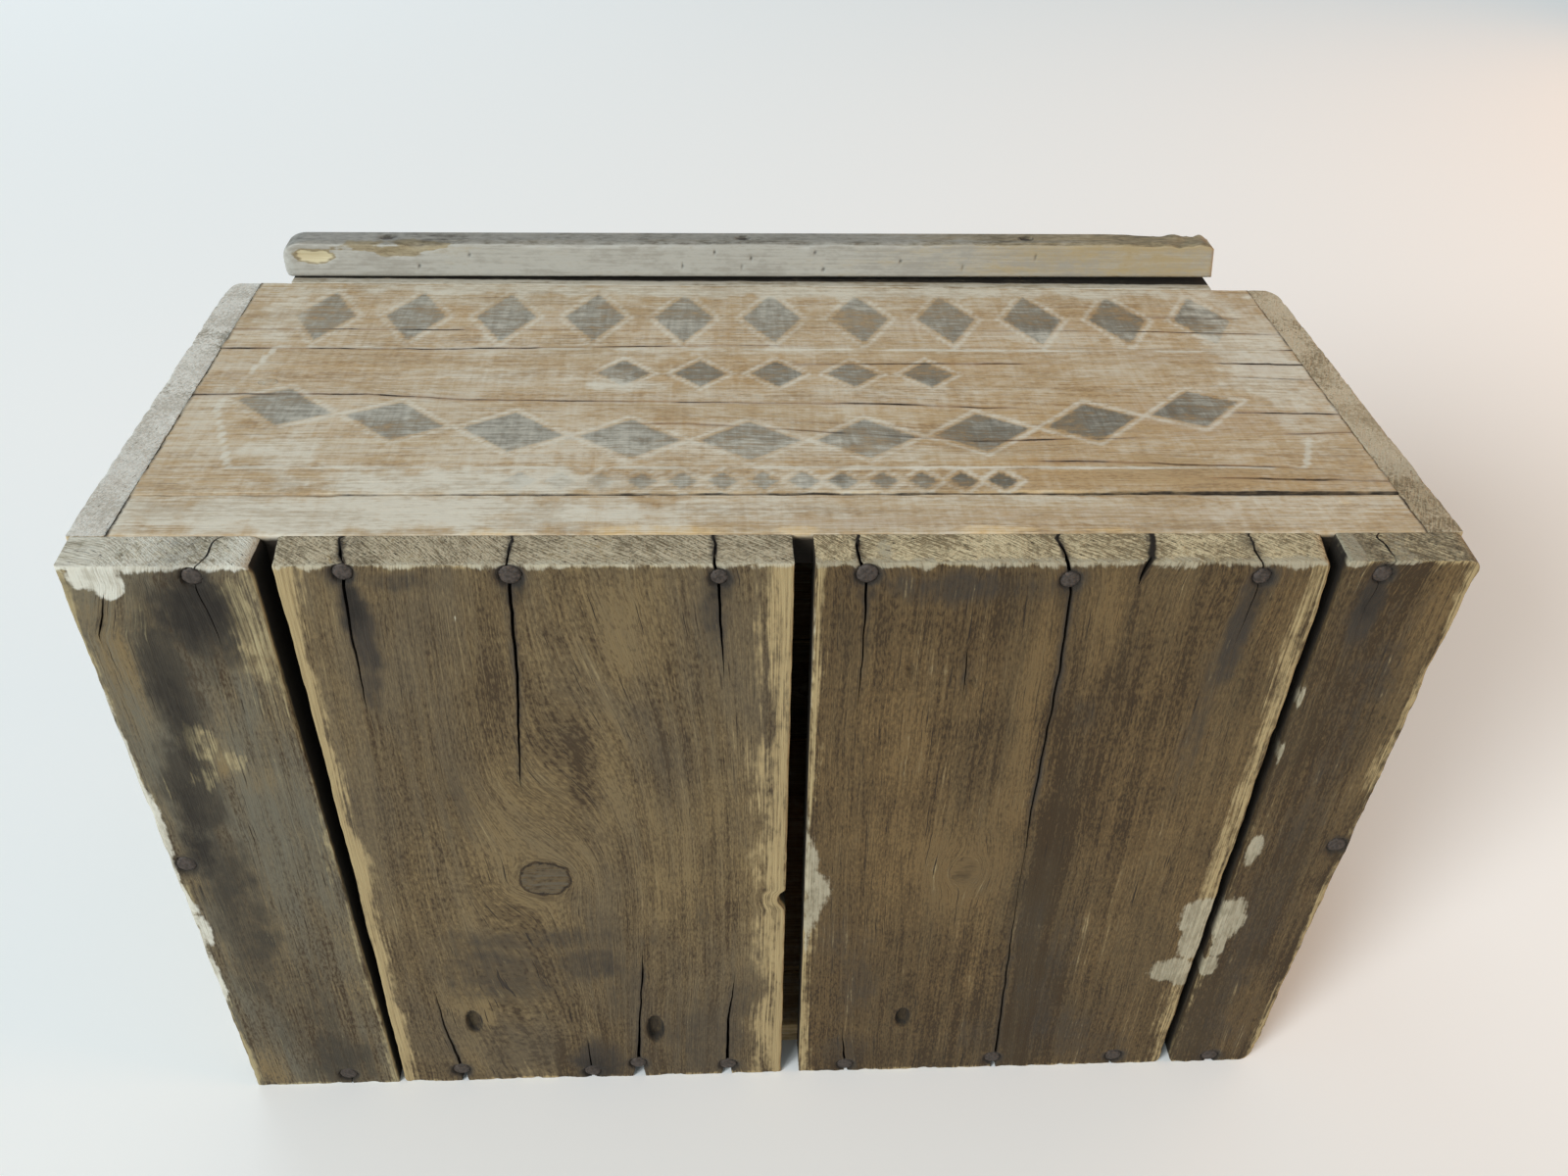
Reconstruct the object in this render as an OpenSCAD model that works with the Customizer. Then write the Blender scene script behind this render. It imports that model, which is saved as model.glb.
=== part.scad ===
// Nailed orchard crate with a lift-off lid, in millimetres.
// The crate lies on its back side: X runs along its length, Z runs from the back side up to the
// front side, and Y runs from the bottom planks to the lid. The origin is under the middle of it.

/* [Crate] */
// Length over the two end boards
crate_l = 460; // [400:1:560]
// Depth from the outer face of the back side to that of the front side
crate_d = 290; // [220:1:360]
// Height of the sides, from the bottom planks to the rim
side_h = 187; // [140:1:260]
// Thickness of the end boards
end_t = 12.5; // [10:0.5:16]
// Thickness of the front and back boards
side_t = 12.5; // [10:0.5:16]
// Width of the narrow board of the front side, next to the bottom
front_narrow_w = 23.5; // [18:0.5:50]
// Width of the narrow board of the back side, next to the bottom
back_narrow_w = 30; // [18:0.5:50]
// Thickness of the tongue that joins a narrow board to its wide board
tongue_t = 4; // [3:0.5:5]
// Length of that tongue
tongue_l = 5; // [3:0.5:8]
// How far wear has rounded an end board at the rim, across its thickness
rim_wear_x = 5; // [1:0.5:8]
// How far the same wear runs down the end board
rim_wear_y = 12; // [2:0.5:20]

/* [Bottom planks] */
// Thickness of the bottom planks
plank_t = 16; // [11:0.5:22]
// Distance from the end of the crate to the first plank, at the front
first_inset = 3; // [0:0.5:6]
// Distance from the other end of the crate to the last plank, at the front
last_inset = 2.2; // [0:0.2:6]
// How far the last plank tapers at the back, on its outer edge
last_taper = 3.6; // [0:0.2:8]
// Width of the first plank at the front
plank_1_w = 59.6; // [50:0.2:75]
// Width of the second plank at the front
plank_2_w = 162.4; // [140:0.2:185]
// Width of the last plank at the front
plank_4_w = 47.3; // [38:0.2:60]
// First gap between planks at the front
gap_1_front = 7.4; // [2:0.2:10]
// First gap at the back
gap_1_back = 2.4; // [1:0.2:10]
// Second gap at the front
gap_2_front = 6.7; // [2:0.2:10]
// Second gap at the back
gap_2_back = 8; // [1:0.2:10]
// Third gap at the front
gap_3_front = 2.8; // [2:0.2:10]
// Third gap at the back
gap_3_back = 4.2; // [1:0.2:10]
// Sideways lean of the first gap from front to back
gap_1_lean = 0.2; // [-4:0.2:4]
// Sideways lean of the second gap from front to back
gap_2_lean = 4.6; // [-5:0.2:5]
// Sideways lean of the third gap from front to back
gap_3_lean = 4; // [-4:0.2:4]
// Radius of the worn outer front corner of the last plank
worn_corner_r = 15; // [2:0.5:18]
// Radius of the other worn plank corners
plank_corner_r = 7; // [1:0.5:12]

/* [Nails] */
// Diameter of a nail's shank
nail_d = 2.8; // [2:0.1:3.6]
// Diameter of a nail's head
nail_head_d = 7.8; // [6:0.1:9]
// Thickness of a nail's head
nail_head_t = 1.2; // [0.8:0.1:2]
// How deep the heads are driven below the wood
nail_sink = 0.5; // [0.2:0.1:1]
// Length of a nail beyond the board that it holds down
nail_bite = 27; // [18:0.5:32]
// Bite of the nails in the lid's cleats
cleat_bite = 11; // [8:0.5:13]
// Distance of the bottom nails from the front face of the crate
nail_inset_front = 6; // [5:0.2:7]
// Distance of the bottom nails from the back face of the crate
nail_inset_back = 6; // [5:0.2:7]
// Distance from a wide plank's edge to its outer nails
nail_edge = 20; // [14:0.5:28]
// Distance from a side board's edges to the nails in its end grain
end_nail_edge = 26; // [18:0.5:34]
// Distance of the nails in the outermost planks from the crate's end faces
end_nail_inset = 8.2; // [6:0.2:9]
// Height of those nails above the back face
end_nail_z = 149; // [80:1:180]
// Width at the mouth of the splits that start at the nails
split_w = 1.4; // [0.6:0.1:2.4]
// How far the longest split stops short of the back end of its plank
split_stop = 35; // [20:1:120]

/* [Lid] */
// How much shorter the lid is than the mouth between the end boards
lid_play = 29; // [4:1:60]
// How far the lid lies off the middle of the crate, towards -X
lid_shift = 1.9; // [0:0.1:6]
// Thickness of the lid boards
lid_t = 16.7; // [12:0.1:20]
// Gap between two lid boards
lid_board_gap = 0.8; // [0.3:0.1:2]
// Width of the front board of the lid
lid_front_w = 104; // [70:1:120]
// Width of the back board of the lid
lid_back_w = 84; // [60:1:100]
// Distance of the lid's back edge from the crate's back face
lid_back_inset = 1; // [0.5:0.5:6]
// Width of a cleat under the lid
cleat_w = 32; // [22:1:50]
// Thickness of a cleat
cleat_t = 14; // [12:0.5:20]
// Distance from the end of the lid to a cleat
cleat_inset = 49; // [30:1:80]
// Bevel on the corners of a cleat that lead it into the mouth
cleat_bevel = 4; // [1:0.5:6]

/* [Lip] */
// How far the lip, nailed to the lid's front edge, lies off the lid's middle, towards -X
lip_shift = 1.2; // [0:0.1:6]
// How much shorter the lip is than the lid
lip_short = 0; // [0:1:60]
// Thickness of the lip, along Y
lip_t = 12; // [9:0.5:16]
// Height of the lip above the lid's edge
lip_h = 16.2; // [12:0.2:22]
// How far the lip has lifted at its loose end
lip_lift = 3; // [0:0.2:4]
// Radius of the lip's arrises
lip_round = 2.4; // [0.8:0.2:4]
// Radius of the lip's well rounded end
lip_end_round = 6; // [2:0.5:7]
// Distance from the seated end of the lip to its first nail
lip_nail_first = 43; // [20:1:46]
// Distance from the loose end of the lip to its last nail
lip_nail_last = 84; // [60:1:110]
// How far the lip's middle nail lies off the midpoint of the other two, towards +X
lip_nail_shift = 14; // [0:1:30]

/* [Fits] */
// Clearance between a nail and its hole, all round
nail_fit = 0.1; // [0.05:0.05:0.2]
// Clearance of a tongue in its groove, on each face
tongue_fit = 0.2; // [0.1:0.05:0.4]
// Gap between the rim and the lid
lid_fit = 0.3; // [0.2:0.1:1]
// Clearance between a cleat's end and a side of the crate
cleat_fit = 1; // [0.5:0.1:3]

/* [Hidden] */
$fn = 32;

plank_colour = "#6b5840";
side_colour = "#b99c78";
edge_colour = "#a9a294";
lid_colour = "#9b8564";
lip_colour = "#b9b5ac";
nail_colour = "#4a3d36";

crate_h = plank_t + side_h + lid_fit + lid_t;  // from the planks' face to the lid's face
plank_y = -crate_h / 2;                        // outer face of the bottom planks
floor_y = plank_y + plank_t;                   // where the planks meet the sides
rim_y = floor_y + side_h;
lid_y = rim_y + lid_fit;
left_x = -crate_l / 2;
right_x = crate_l / 2;
inner_l = crate_l - 2 * end_t;
front_z = crate_d;

// The gaps between planks: the middle of each at the front, then at the back
gap_1_front_x = left_x + first_inset + plank_1_w + gap_1_front / 2;
gap_2_front_x = gap_1_front_x + gap_1_front / 2 + plank_2_w + gap_2_front / 2;
gap_3_front_x = right_x - last_inset - plank_4_w - gap_3_front / 2;
gap_1_back_x = gap_1_front_x + gap_1_lean;
gap_2_back_x = gap_2_front_x + gap_2_lean;
gap_3_back_x = gap_3_front_x + gap_3_lean;

// Left and right edges of each plank at the front, then at the back
plank_edges = [
    [left_x + first_inset, gap_1_front_x - gap_1_front / 2,
     left_x + first_inset, gap_1_back_x - gap_1_back / 2],
    [gap_1_front_x + gap_1_front / 2, gap_2_front_x - gap_2_front / 2,
     gap_1_back_x + gap_1_back / 2, gap_2_back_x - gap_2_back / 2],
    [gap_2_front_x + gap_2_front / 2, gap_3_front_x - gap_3_front / 2,
     gap_2_back_x + gap_2_back / 2, gap_3_back_x - gap_3_back / 2],
    [gap_3_front_x + gap_3_front / 2, right_x - last_inset,
     gap_3_back_x + gap_3_back / 2, right_x - last_inset - last_taper]
];

// Corner radii of each plank: back left, back right, front right, front left
plank_corners = [
    [1, 2, plank_corner_r, 2],
    [3, 1, 1, 2],
    [1, 4, plank_corner_r + 2, 1],
    [3, plank_corner_r, worn_corner_r, 2]
];

// The nails of each plank at one end of it. Each row is one nail: which edge its place is taken
// from (-1 left, 0 middle, 1 right), the distance to the right of that, the distance further in
// from the row's line, the length of the split that starts at it, and that split's lean to +X.
front_nails = [
    [[0, 10.5, -1, 12, 2]],
    [[-1, nail_edge, -2.6, 60, 8], [0, -9.2, -1.2, 110, 5], [1, -nail_edge - 4, 0, 45, 1]],
    [[-1, nail_edge - 3, -0.9, 55, -1], [0, -0.5, 2, front_z - split_stop, 9], [1, -nail_edge - 1, 1.1, 20, -4]],
    [[0, -7, 0.2, 14, -3]]
];
back_nails = [
    [[0, 9.6, 0.6, 12, -2]],
    [[-1, nail_edge + 6, 2.1, 40, -8], [0, -0.6, -2.1, 14, 2],
     [0, 20, 3.6, 50, 1], [1, -nail_edge - 4, 0.6, 45, 2]],
    [[-1, nail_edge + 1, -1.8, 25, 1], [0, 5, 0.7, 12, 0], [1, -nail_edge - 2, -0.2, 16, 2]],
    [[0, 0, -2.3, 10, 0]]
];

nail_hole_d = nail_d + 2 * nail_fit;
head_hole_d = nail_head_d + 2 * nail_fit;
head_hole_t = nail_head_t + nail_sink;
nail_point_l = 2 * nail_d;
past = 1;                                      // how far a cutting tool runs past a face

lid_l = inner_l - lid_play;
lid_x = -lid_shift - lid_l / 2;                // left end of the lid
lid_d = crate_d - lid_back_inset;
lid_middle_w = lid_d - lid_front_w - lid_back_w - 2 * lid_board_gap;
lid_back_z = lid_back_inset;
lid_middle_z = lid_back_z + lid_back_w + lid_board_gap;
lid_front_z = front_z - lid_front_w;
cleat_y = lid_y - cleat_t;
cleat_z = side_t + cleat_fit;
cleat_d = crate_d - 2 * cleat_z;
cleat_left_x = lid_x + cleat_inset;
cleat_right_x = lid_x + lid_l - cleat_inset - cleat_w;
lip_l = lid_l - lip_short;
lip_x = -lid_shift - lip_shift - lip_l / 2;
lip_y = lid_y + lid_t - lip_t;
lip_tilt = asin(lip_lift / lip_l);
lip_first_x = lip_x + lip_nail_first;
lip_last_x = lip_x + lip_l - lip_nail_last;
lip_nail_xs = [lip_first_x, (lip_first_x + lip_last_x) / 2 + lip_nail_shift, lip_last_x];

// Unit vector along v
function unit(v) = v / norm(v);

// Points of the arc of radius r that rounds corner b between its neighbours a and c,
// on an outline that runs anticlockwise
function corner_arc(a, b, c, r, steps = 6) =
    let (to_a = unit(a - b), to_c = unit(c - b),
         half = acos(to_a * to_c) / 2,
         centre = b + unit(to_a + to_c) * r / sin(half),
         start = b + to_a * r / tan(half) - centre)
    [for (i = [0 : steps])
        let (t = (180 - 2 * half) * i / steps)
        centre + [start.x * cos(t) - start.y * sin(t), start.x * sin(t) + start.y * cos(t)]];

// Outline through points, with each corner rounded by its own radius
function rounded(points, radii) =
    let (n = len(points))
    [for (i = [0 : n - 1])
        each corner_arc(points[(i + n - 1) % n], points[i], points[(i + 1) % n], radii[i])];

function rectangle(w, h) = [[0, 0], [w, 0], [w, h], [0, h]];

// Where across plank i a nail of the row at one end goes: side is 0 at the front, 2 at the back
function nail_x(i, row, side) =
    let (left = plank_edges[i][side], right = plank_edges[i][side + 1],
         from = row[0] < 0 ? left : row[0] > 0 ? right : (left + right) / 2)
    from + row[1];
function front_nail_z(row) = front_z - nail_inset_front - row[2];
function back_nail_z(row) = nail_inset_back + row[2];

// Where along Y the nails go through an end board into a side's wide board. Its narrow board is
// held by the tongue and by the bottom planks' nails.
function end_nail_ys(narrow_w) =
    [floor_y + narrow_w + end_nail_edge, rim_y - end_nail_edge];
end_nails = [
    for (y = end_nail_ys(front_narrow_w)) [y, front_z - side_t / 2],
    for (y = end_nail_ys(back_narrow_w)) [y, side_t / 2]
];

// Nail with its head's top at z = 0 and its point below; reach is its whole length
module nail(reach) {
    color(nail_colour) {
        translate([0, 0, -nail_head_t]) cylinder(h = nail_head_t, d = nail_head_d);
        translate([0, 0, -reach + nail_point_l])
            cylinder(h = reach - nail_point_l - nail_head_t, d = nail_d);
        translate([0, 0, -reach])
            cylinder(h = nail_point_l, d1 = nail_d / 4, d2 = nail_d);
    }
}

// Hole for that nail, with the recess for its head, open above z = 0
module nail_hole(reach) {
    translate([0, 0, -reach - past]) cylinder(h = reach + past, d = nail_hole_d);
    translate([0, 0, -head_hole_t + nail_sink])
        cylinder(h = head_hole_t + past, d = head_hole_d);
}

// Each of these places what follows it where a nail's head is, with -z along the nail
module at_front_nails(planks = [0 : 3])
    for (i = planks, row = front_nails[i])
        translate([nail_x(i, row, 0), plank_y + nail_sink, front_nail_z(row)])
            rotate([90, 0, 0]) children();
module at_back_nails(planks = [0 : 3])
    for (i = planks, row = back_nails[i])
        translate([nail_x(i, row, 2), plank_y + nail_sink, back_nail_z(row)])
            rotate([90, 0, 0]) children();
module at_end_bottom_nails()
    for (side = [-1, 1])
        translate([side * (right_x - end_nail_inset), plank_y + nail_sink, end_nail_z])
            rotate([90, 0, 0]) children();
module at_end_nails(side)
    for (place = end_nails)
        translate([side * (right_x - nail_sink), place.x, place.y])
            rotate([0, side * 90, 0]) children();
module at_cleat_nails()
    for (x = [cleat_left_x, cleat_right_x], z = [
            lid_back_z + nail_edge, lid_back_z + lid_back_w - nail_edge,
            lid_middle_z + nail_edge, lid_middle_z + lid_middle_w - nail_edge,
            lid_front_z + nail_edge, lid_front_z + lid_front_w - nail_edge - 8])
        translate([x + cleat_w / 2, lid_y + lid_t - nail_sink, z])
            rotate([-90, 0, 0]) children();
// The lip's nails keep upright, and their heads follow the lifted lip
module at_lip_nails()
    for (x = lip_nail_xs)
        translate([x, lip_y + lip_t / 2,
                   front_z + lip_h - nail_sink + (x - lip_x) * tan(lip_tilt)])
            children();

bottom_reach = plank_t - nail_sink + nail_bite;
end_reach = end_t - nail_sink + nail_bite;
cleat_reach = lid_t - nail_sink + cleat_bite;
lip_reach = lip_h + lip_lift + nail_bite - 8;

// One bottom plank: its worn outline, its nail holes and the splits that start at the nails
module bottom_plank(i) {
    edges = plank_edges[i];
    outline = [[edges[2], 0], [edges[3], 0], [edges[1], front_z], [edges[0], front_z]];
    color(plank_colour) difference() {
        translate([0, floor_y, 0]) rotate([90, 0, 0]) linear_extrude(plank_t)
            polygon(rounded(outline, plank_corners[i]));
        at_front_nails([i]) nail_hole(bottom_reach);
        at_back_nails([i]) nail_hole(bottom_reach);
        if (i == 0 || i == 3) at_end_bottom_nails() nail_hole(bottom_reach);
        for (row = front_nails[i]) split(nail_x(i, row, 0), front_z, -row[3], row[4]);
        for (row = back_nails[i]) split(nail_x(i, row, 2), 0, row[3], row[4]);
    }
}

// Wedge that opens a plank from its end at height z, through the nail at x, to its tip
module split(x, z, run, lean)
    translate([x, floor_y + past, z]) rotate([90, 0, 0]) linear_extrude(plank_t + 2 * past)
        polygon([[-split_w / 2, -sign(run) * past], [lean, run], [split_w / 2, -sign(run) * past]]);

// End board: full height of the sides, worn round along the outer arris at the rim.
// It is drawn for the right end; the left one is its mirror image.
module end_board_shape() {
    color(edge_colour) difference() {
        translate([right_x - end_t, floor_y, 0]) linear_extrude(crate_d)
            polygon([[0, 0], [end_t, 0],
                for (a = [0 : 15 : 90])
                    [end_t - rim_wear_x + rim_wear_x * cos(a),
                     side_h - rim_wear_y + rim_wear_y * sin(a)],
                [0, side_h]]);
        at_end_bottom_nails() nail_hole(bottom_reach);
        at_end_nails(1) nail_hole(end_reach);
    }
}
module end_board_left() mirror([1, 0, 0]) end_board_shape();
module end_board_right() end_board_shape();

// Board between the end boards, from low_y to high_y, with its outer face at z or z + side_t
module side_board(low_y, high_y, z)
    translate([-inner_l / 2, low_y, z]) cube([inner_l, high_y - low_y, side_t]);

// Tongue, or with grow the groove for it, at height y in a board whose lower face is at z
module tongue(y, z, grow = 0)
    translate([-inner_l / 2 - grow * past, y - past * sign(grow), z + (side_t - tongue_t) / 2 - grow])
        cube([inner_l + 2 * grow * past, tongue_l + past * sign(grow) + grow, tongue_t + 2 * grow]);

module side_nail_holes() {
    at_front_nails() nail_hole(bottom_reach);
    at_back_nails() nail_hole(bottom_reach);
    at_end_nails(1) nail_hole(end_reach);
    at_end_nails(-1) nail_hole(end_reach);
}

module wide_board(narrow_w, z)
    color(side_colour) difference() {
        side_board(floor_y + narrow_w, rim_y, z);
        tongue(floor_y + narrow_w, z, tongue_fit);
        side_nail_holes();
    }
module narrow_board(narrow_w, z)
    color(side_colour) difference() {
        union() {
            side_board(floor_y, floor_y + narrow_w, z);
            tongue(floor_y + narrow_w, z);
        }
        side_nail_holes();
    }
module front_wide_board() wide_board(front_narrow_w, front_z - side_t);
module front_narrow_board() narrow_board(front_narrow_w, front_z - side_t);
module back_wide_board() wide_board(back_narrow_w, 0);
module back_narrow_board() narrow_board(back_narrow_w, 0);

module front_bottom_nails() at_front_nails() nail(bottom_reach);
module back_bottom_nails() at_back_nails() nail(bottom_reach);
module end_bottom_nails() at_end_bottom_nails() nail(bottom_reach);
module left_end_nails() at_end_nails(-1) nail(end_reach);
module right_end_nails() at_end_nails(1) nail(end_reach);

// One board of the lid, from height z, with the holes for the cleats' and the lip's nails
module lid_board(z, w)
    color(lid_colour) difference() {
        translate([lid_x, lid_y, z]) cube([lid_l, lid_t, w]);
        at_cleat_nails() nail_hole(cleat_reach);
        at_lip_nails() nail_hole(lip_reach);
    }
module lid_front_board() lid_board(lid_front_z, lid_front_w);
module lid_middle_board() lid_board(lid_middle_z, lid_middle_w);
module lid_back_board() lid_board(lid_back_z, lid_back_w);

// Cleat across the lid boards, bevelled where it leads into the mouth
module lid_cleat(x)
    color(lid_colour) difference() {
        translate([x, cleat_y, cleat_z]) rotate([0, 0, 90]) rotate([90, 0, 0])
            linear_extrude(cleat_w) polygon([
                [0, cleat_bevel], [cleat_bevel, 0], [cleat_t, 0],
                [cleat_t, cleat_d], [cleat_bevel, cleat_d], [0, cleat_d - cleat_bevel]]);
        at_cleat_nails() nail_hole(cleat_reach);
    }
module lid_cleat_left() lid_cleat(cleat_left_x);
module lid_cleat_right() lid_cleat(cleat_right_x);
module lid_cleat_nails() at_cleat_nails() nail(cleat_reach);

// Lip along the lid's front edge, a grip to pull the lid off by, lifted at its loose end
module lid_lip()
    color(lip_colour) difference() {
        translate([lip_x, lip_y, front_z]) rotate([0, -lip_tilt, 0]) intersection() {
            rotate([90, 0, 90]) linear_extrude(lip_l)
                polygon(rounded(rectangle(lip_t, lip_h), lip_round * [0.5, 0.5, 1, 1]));
            translate([0, lip_t + past, 0]) rotate([90, 0, 0]) linear_extrude(lip_t + 2 * past)
                polygon(rounded(rectangle(lip_l, lip_h), [2, 1, 2, lip_end_round]));
            translate([0, 0, -past]) linear_extrude(lip_h + 2 * past)
                polygon(rounded(rectangle(lip_l, lip_t), [lip_end_round - 1, 2, 1, 2]));
        }
        at_lip_nails() nail_hole(lip_reach);
    }
module lid_lip_nails() at_lip_nails() nail(lip_reach);

end_board_left();
end_board_right();
front_wide_board();
front_narrow_board();
back_wide_board();
back_narrow_board();
bottom_plank(0);  // bottom_plank_1
bottom_plank(1);  // bottom_plank_2
bottom_plank(2);  // bottom_plank_3
bottom_plank(3);  // bottom_plank_4
front_bottom_nails();
back_bottom_nails();
end_bottom_nails();
left_end_nails();
right_end_nails();
lid_front_board();
lid_middle_board();
lid_back_board();
lid_cleat_left();
lid_cleat_right();
lid_cleat_nails();
lid_lip();
lid_lip_nails();
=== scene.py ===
import math

import bmesh
import bpy
import numpy as np
from mathutils import Matrix, Vector


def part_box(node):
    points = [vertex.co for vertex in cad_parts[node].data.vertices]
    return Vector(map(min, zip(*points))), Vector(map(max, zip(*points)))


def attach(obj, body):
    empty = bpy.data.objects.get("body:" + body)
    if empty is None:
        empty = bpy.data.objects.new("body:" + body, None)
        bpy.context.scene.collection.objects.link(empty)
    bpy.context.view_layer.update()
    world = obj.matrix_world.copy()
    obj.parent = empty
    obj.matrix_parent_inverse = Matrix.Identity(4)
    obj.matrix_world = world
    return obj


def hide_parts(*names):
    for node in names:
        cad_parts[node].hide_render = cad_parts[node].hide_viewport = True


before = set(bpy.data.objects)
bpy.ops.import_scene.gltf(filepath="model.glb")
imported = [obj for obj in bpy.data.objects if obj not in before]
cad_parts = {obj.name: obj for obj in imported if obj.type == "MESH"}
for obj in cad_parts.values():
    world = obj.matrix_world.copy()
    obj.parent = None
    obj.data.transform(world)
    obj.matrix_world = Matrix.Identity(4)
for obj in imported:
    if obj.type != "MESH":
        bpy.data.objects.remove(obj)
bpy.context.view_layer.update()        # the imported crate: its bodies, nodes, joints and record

mm = 0.001
headRadius = 3.9        # of a full nail head, in mm
boardNames = []
print("frame loaded:", len(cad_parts), "CAD nodes")


# Colours are written as sRGB hex and turned to linear here
def linear(hexColour):
    parts = [int(hexColour[i:i + 2], 16) / 255 for i in (1, 3, 5)]
    return [p / 12.92 if p <= 0.04045 else ((p + 0.055) / 1.055) ** 2.4 for p in parts] + [1.0]


# Corners of a CAD node's box, and its points, in mm
def cadBox(node):
    return [np.array(corner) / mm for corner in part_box(node)]


def cadPoints(node):
    return np.array([point.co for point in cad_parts[node].data.vertices]) / mm


# Adds a node with its settings, and links or sets its inputs
def addNode(tree, kind, inputs=None, **settings):
    made = tree.nodes.new(kind)
    for key, value in settings.items():
        setattr(made, key, value)
    for key, value in (inputs or {}).items():
        if isinstance(value, bpy.types.NodeSocket):
            tree.links.new(value, made.inputs[key])
        else:
            made.inputs[key].default_value = value
    return made


# Camera at the height of someone who looks down at the crate on a table
cameraLook = {
    "place": (-0.0242, -0.4414, 0.5391),    # metres, in the crate's frame
    "yaw": 0.0706,                          # radians, turned from +Y towards +X
    "pitch": 0.6625,                        # down
    "roll": 0.0381,
    "lens": 29.95,                          # mm on a 36 mm sensor
}


def makeCamera(look):
    yaw, pitch, roll = look["yaw"], look["pitch"], look["roll"]
    ahead = Vector((math.sin(yaw) * math.cos(pitch), math.cos(yaw) * math.cos(pitch), -math.sin(pitch)))
    level = Vector((math.cos(yaw), -math.sin(yaw), 0))
    above = level.cross(ahead)
    side = math.cos(roll) * level + math.sin(roll) * above
    up = -math.sin(roll) * level + math.cos(roll) * above
    camera = bpy.data.objects.new("camera", bpy.data.cameras.new("camera"))
    camera.data.lens = look["lens"]
    camera.data.clip_start = 0.01
    turn = Matrix((side, up, -ahead)).transposed().to_4x4()
    camera.matrix_world = Matrix.Translation(look["place"]) @ turn
    bpy.context.collection.objects.link(camera)
    bpy.context.scene.camera = camera


stageLook = {
    "floorSize": 9.0,
    "floorColour": "#f6f7f6",
    "skyColour": "#e4f0f4",
    "skyPower": 0.4,
    # name: kind, place, spread (metres across, or radians for a sun), power, colour
    "lights": {
        "daylight": ("SUN", (-1.15, -0.9, 0.88), 0.34, 1.5, "#f9fbff"),
        "windowLight": ("AREA", (-2.4, -2.8, 2.3), 1.8, 88, "#f2fcff"),
        "lampLight": ("AREA", (1.9, -0.35, 0.8), 0.7, 10, "#ffae36"),
        "wallGlow": ("AREA", (1.7, 1.0, 0.7), 1.2, 5, "#ffa936"),
        "backWindow": ("AREA", (-1.4, 2.5, 1.7), 1.6, 14, "#ecf8ff"),
    },
}


def makeStage(look):
    half = look["floorSize"] / 2
    shape = bmesh.new()
    corners = ((-half, -half), (half, -half), (half, half), (-half, half))
    shape.faces.new([shape.verts.new((x, y, 0)) for x, y in corners])
    mesh = bpy.data.meshes.new("paleFloor")
    shape.to_mesh(mesh)
    shape.free()
    floor = bpy.data.objects.new("paleFloor", mesh)
    bpy.context.collection.objects.link(floor)
    cloth = bpy.data.materials.new("paleCloth")
    cloth.use_nodes = True
    shader = cloth.node_tree.nodes["Principled BSDF"]
    shader.inputs["Base Color"].default_value = linear(look["floorColour"])
    shader.inputs["Roughness"].default_value = 0.95
    shader.inputs["Specular IOR Level"].default_value = 0.1
    mesh.materials.append(cloth)
    room = bpy.data.worlds.new("softRoom")
    bpy.context.scene.world = room
    room.use_nodes = True
    sky = room.node_tree.nodes["Background"]
    sky.inputs["Color"].default_value = linear(look["skyColour"])
    sky.inputs["Strength"].default_value = look["skyPower"]
    for name, (kind, place, spread, power, colour) in look["lights"].items():
        panel = bpy.data.lights.new(name, kind)
        setattr(panel, "angle" if kind == "SUN" else "size", spread)
        panel.energy = power
        panel.color = linear(colour)[:3]
        lamp = bpy.data.objects.new(name, panel)
        lamp.location = place
        aim = Vector((0, 0, 0.15)) - Vector(place)
        lamp.rotation_euler = aim.to_track_quat("-Z", "Y").to_euler()
        bpy.context.collection.objects.link(lamp)
    bpy.context.scene.view_settings.view_transform = "Standard"


makeCamera(cameraLook)
makeStage(stageLook)
print("camera and stage made")


# Noise pattern of wood: bumps of the given lengths in mm, along the grain and across it
def grainPattern(tree, place, grain, along, across, detail=2.0, wander=0.0):
    scale = [1 / (across * mm)] * 3
    scale["XYZ".index(grain)] = 1 / (along * mm)
    stretched = addNode(tree, "ShaderNodeMapping", {"Vector": place, "Scale": scale})
    return addNode(tree, "ShaderNodeTexNoise", {
        "Vector": stretched.outputs[0], "Scale": 1.0, "Detail": detail, "Roughness": 0.6,
        "Distortion": wander}).outputs[0]


# Weighted sum of fields that each swing about their middle
def blendFields(tree, start, parts):
    total = start
    for field, weight in parts:
        centred = addNode(tree, "ShaderNodeMath", {0: field, 1: 0.5}, operation="SUBTRACT")
        total = addNode(tree, "ShaderNodeMath", {
            0: centred.outputs[0], 1: weight, 2: total}, operation="MULTIPLY_ADD").outputs[0]
    return total


# Mask that goes from 0 to 1 as a field passes between two values, with patterns to break up its border
def raggedMask(tree, field, low, high, parts=()):
    return addNode(tree, "ShaderNodeMapRange", {
        "Value": blendFields(tree, field, parts), "From Min": low, "From Max": high},
        interpolation_type="SMOOTHSTEP").outputs[0]


# Coats laid over a colour one after another, each given as its mask and its own colour
def layCoats(tree, colour, *coats):
    for mask, coat in coats:
        colour = addNode(tree, "ShaderNodeMix", {0: mask, 6: colour, 7: coat},
                         data_type="RGBA", clamp_factor=True).outputs[2]
    return colour


fieldNames = ("seed", "bend", "tint", "knot", "endGrain", "stain", "worn", "stencil", "paint", "dirtAndShade",
              "creviceShade")

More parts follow.
